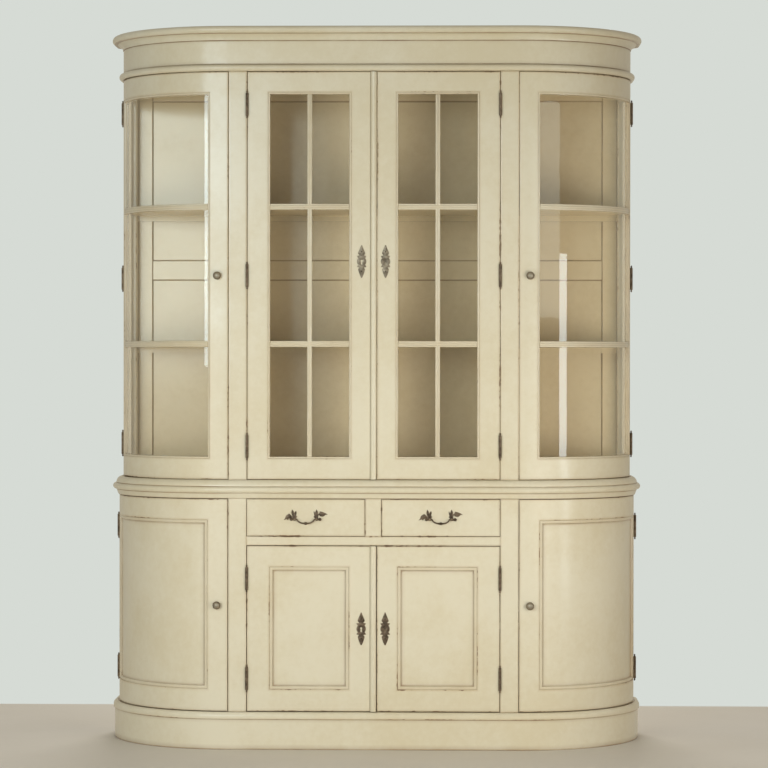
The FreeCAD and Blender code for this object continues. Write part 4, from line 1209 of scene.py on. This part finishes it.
pull = {
    "span": 70, "spacing": 1.5, "rim": 0.9, "crown": 1.7, "crownRun": 1.6, "rimWear": 0.8, "wearRun": 0.8,
    "veinDepth": 0.9, "veinWidth": 0.9, "veinFrom": 0.15,
    "postRadius": 4.5, "postLong": 15, "postTip": 2.6, "standOff": 10, "pinDrop": 4.6, "sideClear": 0.8,
    "wire": 2.3, "drop": 13, "elbow": 2.6, "bead": 4.4, "beadLong": 6.6, "berry": 5.2, "bailSteps": 60,
    "sagFlat": 2.6, "sagSteep": 0.62,           # flat in the middle, steep at the ends
    "collar": 0.35, "collarGap": 1.4, "collarRun": 0.8, "berryFrom": 25, "berrySteps": 12, "berryTip": 0.15,
    # Each mount's leaves about its post in mm; True marks a corner
    "leftEdge": [(4.5, -3.5), (5, 4), (8.8, 8.4, True), (5.2, 10.6), (4.4, 13, True), (6, 20),
                 (4.4, 26.5, True), (0, 23), (-2.3, 19, True), (-4, 26), (-8.8, 31, True), (-11, 21),
                 (-8.2, 9.5), (-8.5, 8.2, True), (-13, 14), (-19, 18, True), (-21.5, 15.2),
                 (-27.5, 11.5), (-31, 3.2), (-35.5, -3.2, True), (-30, -1.6), (-26.5, 0.8, True),
                 (-24, -2.2), (-21.5, -2.6, True), (-18.6, 1.8, True), (-13, 3), (-7.5, 4.6),
                 (-4.5, -3.5)],
    "rightEdge": [(4.5, -3.5), (4.6, 8), (6.7, 13.5), (9.5, 10.2), (17, 8.2), (22, 9.4),
                  (24.8, 11.8, True), (28, 14.2), (35.5, 14.6, True), (30, 18.4), (25.5, 20.6, True),
                  (19, 23), (9.4, 25.4, True), (8.4, 21), (4, 16.5, True), (4.2, 23),
                  (-0.8, 31.5, True), (-4, 25), (-5.8, 19, True), (-7, 23), (-10, 26, True), (-9.4, 18),
                  (-7.4, 12, True), (-8.4, 9.6), (-11, 8, True), (-6, 3), (-4.5, -3.5)],
    # Veins run from the post to the tip of each leaf
    "leftVeins": [(-8.8, 31), (4.4, 26.5), (-35.5, -3.2)],
    "rightVeins": [(-0.8, 31.5), (-10, 26), (35.5, 14.6)],
}


def bailTree():
    # A bent rod whose thickness is marked along its line
    tree, given = shapeTree("bentRod", {"Sides": "Int", "Finish": "Material"})
    line = shaped(tree, "MeshToCurve", {"Mesh": given["Geometry"]})
    level = shaped(tree, "SetCurveNormal", {"Curve": line}, mode="MINIMUM_TWIST")
    thick = shaped(tree, "InputNamedAttribute", {"Name": "thick"}, data_type="FLOAT")
    ring = shaped(tree, "CurvePrimitiveCircle", {"Resolution": given["Sides"], "Radius": 1.0})
    parts = {"Curve": level, "Profile Curve": ring, "Scale": thick, "Fill Caps": True}
    return endTree(tree, given, shaped(tree, "CurveToMesh", parts))


def bailLine():
    # Half of the bail from its middle bead to its berry: places across and up, and thickness, in mm
    size = pull
    wire, elbow, berry, beadLong = size["wire"], size["elbow"], size["berry"], size["beadLong"]
    clear = size["span"] / 2 - size["postRadius"] - size["sideClear"]
    chord = clear - elbow
    line = []
    for step in range(size["bailSteps"]):
        x = chord * math.sin(math.pi / 2 * step / (size["bailSteps"] - 1))
        sag = size["drop"] * max(1 - (x / chord) ** size["sagFlat"], 0.0) ** size["sagSteep"]
        bead = size["bead"] * math.sqrt(max(1 - (x / beadLong) ** 2, 0.0))
        fromCollar = (x - beadLong - size["collarGap"]) / size["collarRun"]
        collar = wire * (1 + size["collar"] * math.exp(-fromCollar ** 2))
        line.append((x, -sag, max(bead, collar)))
    berryAt = size["span"] / 2 + size["postRadius"] + size["sideClear"] + berry
    line[-1] = (chord + 0.4, -0.8, elbow)
    line += [(chord + 1.2, 0, elbow), (clear, 0, wire), (berryAt - berry - 0.4, 0, wire)]
    start, steps = size["berryFrom"], size["berrySteps"]
    for step in range(steps + 1):
        turn = math.radians(start + (180 - start) * step / steps)
        line.append((berryAt - berry * math.cos(turn), 0, max(berry * math.sin(turn), size["berryTip"])))
    return line


def postProfile():
    radius, stand, long = pull["postRadius"], pull["standOff"], pull["postLong"]
    return inMm([
        (0, 0, 0, 0), (radius, 0, 0, 0.8), (radius * 0.86, 3, 0, 0.4), (radius * 0.9, stand - 3, 0.3, 0),
        (radius, stand, 0.5, 0), (radius * 0.86, stand + 3, 0.6, 0), (pull["postTip"], long - 0.6, 0.8, 0),
        (0, long, 0.9, 0)])


def leafLift(veins):
    # A leaf's height, wear and glaze at a distance from its rim, cut by its veins
    def lift(corner, gap):
        swell = 1 - math.exp(-gap / pull["crownRun"])
        groove = 0.0
        for tip in veins:
            run = Vector(tip)
            share = max(0.0, min(1.0, corner.dot(run) / run.length_squared))
            off = (run * share - corner).length
            groove = max(groove, math.exp(-(off / pull["veinWidth"]) ** 2) * (share > pull["veinFrom"]))
        rise = pull["rim"] + pull["crown"] * swell - pull["veinDepth"] * groove * swell
        return rise, pull["rimWear"] * math.exp(-gap / pull["wearRun"]), groove
    return lift


def drawerFace(name):
    low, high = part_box(f"{name}_drawer_front")
    rect = (low.x, high.x, low.z, high.z)
    shell = Shell()
    plainLeaf(shell, rect, leafEdge, high.y - low.y, lambda u, v, w: (u, low.y - w, v))
    setPiece(f"{name}_drawer_face", shell, f"{name}_drawer", "cream_paint", [f"{name}_drawer_front"])


def makePulls():
    rods = bailTree()
    post = postProfile()
    half = bailLine()
    line = [(-x, z, thick) for x, z, thick in reversed(half[1:])] + half
    edges = [(step, step + 1) for step in range(len(line) - 1)]
    marks = {"thick": [thick * mm for *_, thick in line]}
    casts = {hand: castPlate(smoothOutline(pull[hand + "Edge"], 5), [], pull["spacing"]) for hand in handSide}
    front = frontOf["lower"]
    for name in handSide:
        low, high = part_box(f"{name}_bail")
        middle = (low.x + high.x) / 2
        rise = high.z - pull["pinDrop"] * mm
        shell = Shell()
        for hand, side in handSide.items():
            postAt = middle + side * pull["span"] / 2 * mm
            addCast(shell, casts[hand], leafLift(pull[hand + "Veins"]),
                    lambda x, z, w: (postAt + x, front - w, rise + z))
            turned(shell, post, Vector((postAt, front, rise)), *frontFacing, steps=28)
        setPiece(f"{name}_leaf_mounts", shell, f"{name}_drawer", "aged_bronze", [f"{name}_pull_mounts"])
        places = [(middle + x * mm, front - pull["standOff"] * mm, rise + z * mm) for x, z, _ in line]
        mesh = grown(f"{name}_bail_rod", markedMesh(name, places, edges, marks), rods,
                     {"Sides": 20, "Finish": finish["aged_bronze"]})
        setPiece(f"{name}_bail_rod", mesh, f"{name}_bail", "aged_bronze", [f"{name}_bail"], sharp=60)
        drawerFace(name)
    print("drawer pulls cast: 2")


makePulls()

floorLooks = {
    "pale": srgb(222, 216, 205), "shade": srgb(212, 205, 192), "cloudScale": 1.5, "speckleScale": 60.0,
    "stainShare": 0.5, "roughness": 0.6, "corners": [(-4, -6, 0), (4, -6, 0), (4, 1, 0), (-4, 1, 0)],
}
studio = {
    "wall": srgb(214, 219, 213), "room": srgb(182, 174, 155),
    "fill": (1.0, 0.94, 0.85, 1.0), "fillPower": 0.325,
    "position": (0.2546, -9.714, 1.2417), "turn": (89.525, -0.058, 1.333), "lens": 140.08, "sensor": 36.0,
    "farthest": 50, "softSpread": 110, "openSpread": 180,      # soft lamps keep off the floor
    # Lamps: place, aim, width, height, power, colour, and which rays meet them
    "lamps": {
        "windowLeft": ((-2.2, -5.9, 2.1), (-0.4, 0, 1.7), 2.8, 1.8, 92, (0.76, 0.92, 1.0), "all"),
        "windowRight": ((4.3, -3.5, 1.0), (0.5, 0, 1.0), 0.76, 1.5, 21, (0.86, 0.96, 1.0), "gloss"),
        "screenRight": ((2.05, -2.8, 1.87), (0.55, 0, 1.7), 1.6, 0.9, 6, (0.88, 1.0, 0.97), "gloss"),
        "softLeft": ((-1.5, -2.8, 0.8), (-0.1, 0, 0.9), 1.3, 1.1, 8, (1.0, 0.955, 0.89), "diffuse"),
        "softRight": ((1.7, -2.8, 0.8), (0.1, 0, 0.9), 1.3, 1.1, 14, (1.0, 0.955, 0.89), "diffuse"),
        "softBack": ((0.0, 4.5, 2.6), (0, 0, 1.1), 2.5, 2.0, 60, (1.0, 0.99, 0.97), "diffuse"),
    },
}


def makeFloor():
    # Pale floor that runs a little behind the piece
    mesh = bpy.data.meshes.new("floor")
    mesh.from_pydata(floorLooks["corners"], [], [(0, 1, 2, 3)])
    floor = bpy.data.objects.new("floor", mesh)
    scene.collection.objects.link(floor)
    material, tree, shader, place = startMaterial("paleFloor")
    clouds = mottled(tree, place, floorLooks["pale"], floorLooks["shade"], floorLooks)
    giveAll(tree, shader, {"Base Color": clouds["Color"], "Roughness": floorLooks["roughness"]})
    mesh.materials.append(material)


def makeWorld():
    # The camera sees the wall, gloss mirrors a darker room, and the rest is soft fill
    world = bpy.data.worlds.new("studio")
    scene.world = world
    world.use_nodes = True
    tree = world.node_tree
    tree.nodes.clear()

    def glow(colour, strength=1.0):
        return addNode(tree, "ShaderNodeBackground", {"Color": colour, "Strength": strength}).outputs[0]

    def choose(share, first, second):
        return addNode(tree, "ShaderNodeMixShader", {0: share, 1: first, 2: second}).outputs[0]

    rays = addNode(tree, "ShaderNodeLightPath").outputs
    seen = larger(tree, rays["Is Camera Ray"], rays["Is Transmission Ray"])
    around = choose(seen, glow(studio["fill"], studio["fillPower"]), glow(studio["wall"]))
    mirrored = choose(rays["Is Glossy Ray"], around, glow(studio["room"]))
    addNode(tree, "ShaderNodeOutputWorld", {"Surface": mirrored})


def makeLamps():
    for name, (spot, aim, wide, tall, power, colour, meets) in studio["lamps"].items():
        lamp = bpy.data.lights.new(name, "AREA")
        lamp.shape = "RECTANGLE"
        lamp.size, lamp.size_y = wide, tall
        lamp.energy = power
        lamp.color = colour
        soft = meets == "diffuse"
        lamp.spread = math.radians(studio["softSpread" if soft else "openSpread"])
        holder = bpy.data.objects.new(name, lamp)
        holder.location = spot
        holder.rotation_euler = (Vector(aim) - Vector(spot)).to_track_quat("-Z", "Y").to_euler()
        holder.visible_glossy = not soft
        holder.visible_transmission = not soft
        holder.visible_diffuse = meets != "gloss"
        scene.collection.objects.link(holder)


def makeCamera():
    camera = bpy.data.cameras.new("camera")
    camera.lens, camera.sensor_width = studio["lens"], studio["sensor"]
    camera.clip_end = studio["farthest"]
    holder = bpy.data.objects.new("camera", camera)
    holder.location = studio["position"]
    holder.rotation_euler = Euler([math.radians(angle) for angle in studio["turn"]])
    scene.collection.objects.link(holder)
    scene.camera = holder


makeFloor()
makeWorld()
makeLamps()
makeCamera()
scene.view_settings.view_transform = "Standard"
print("studio lit")
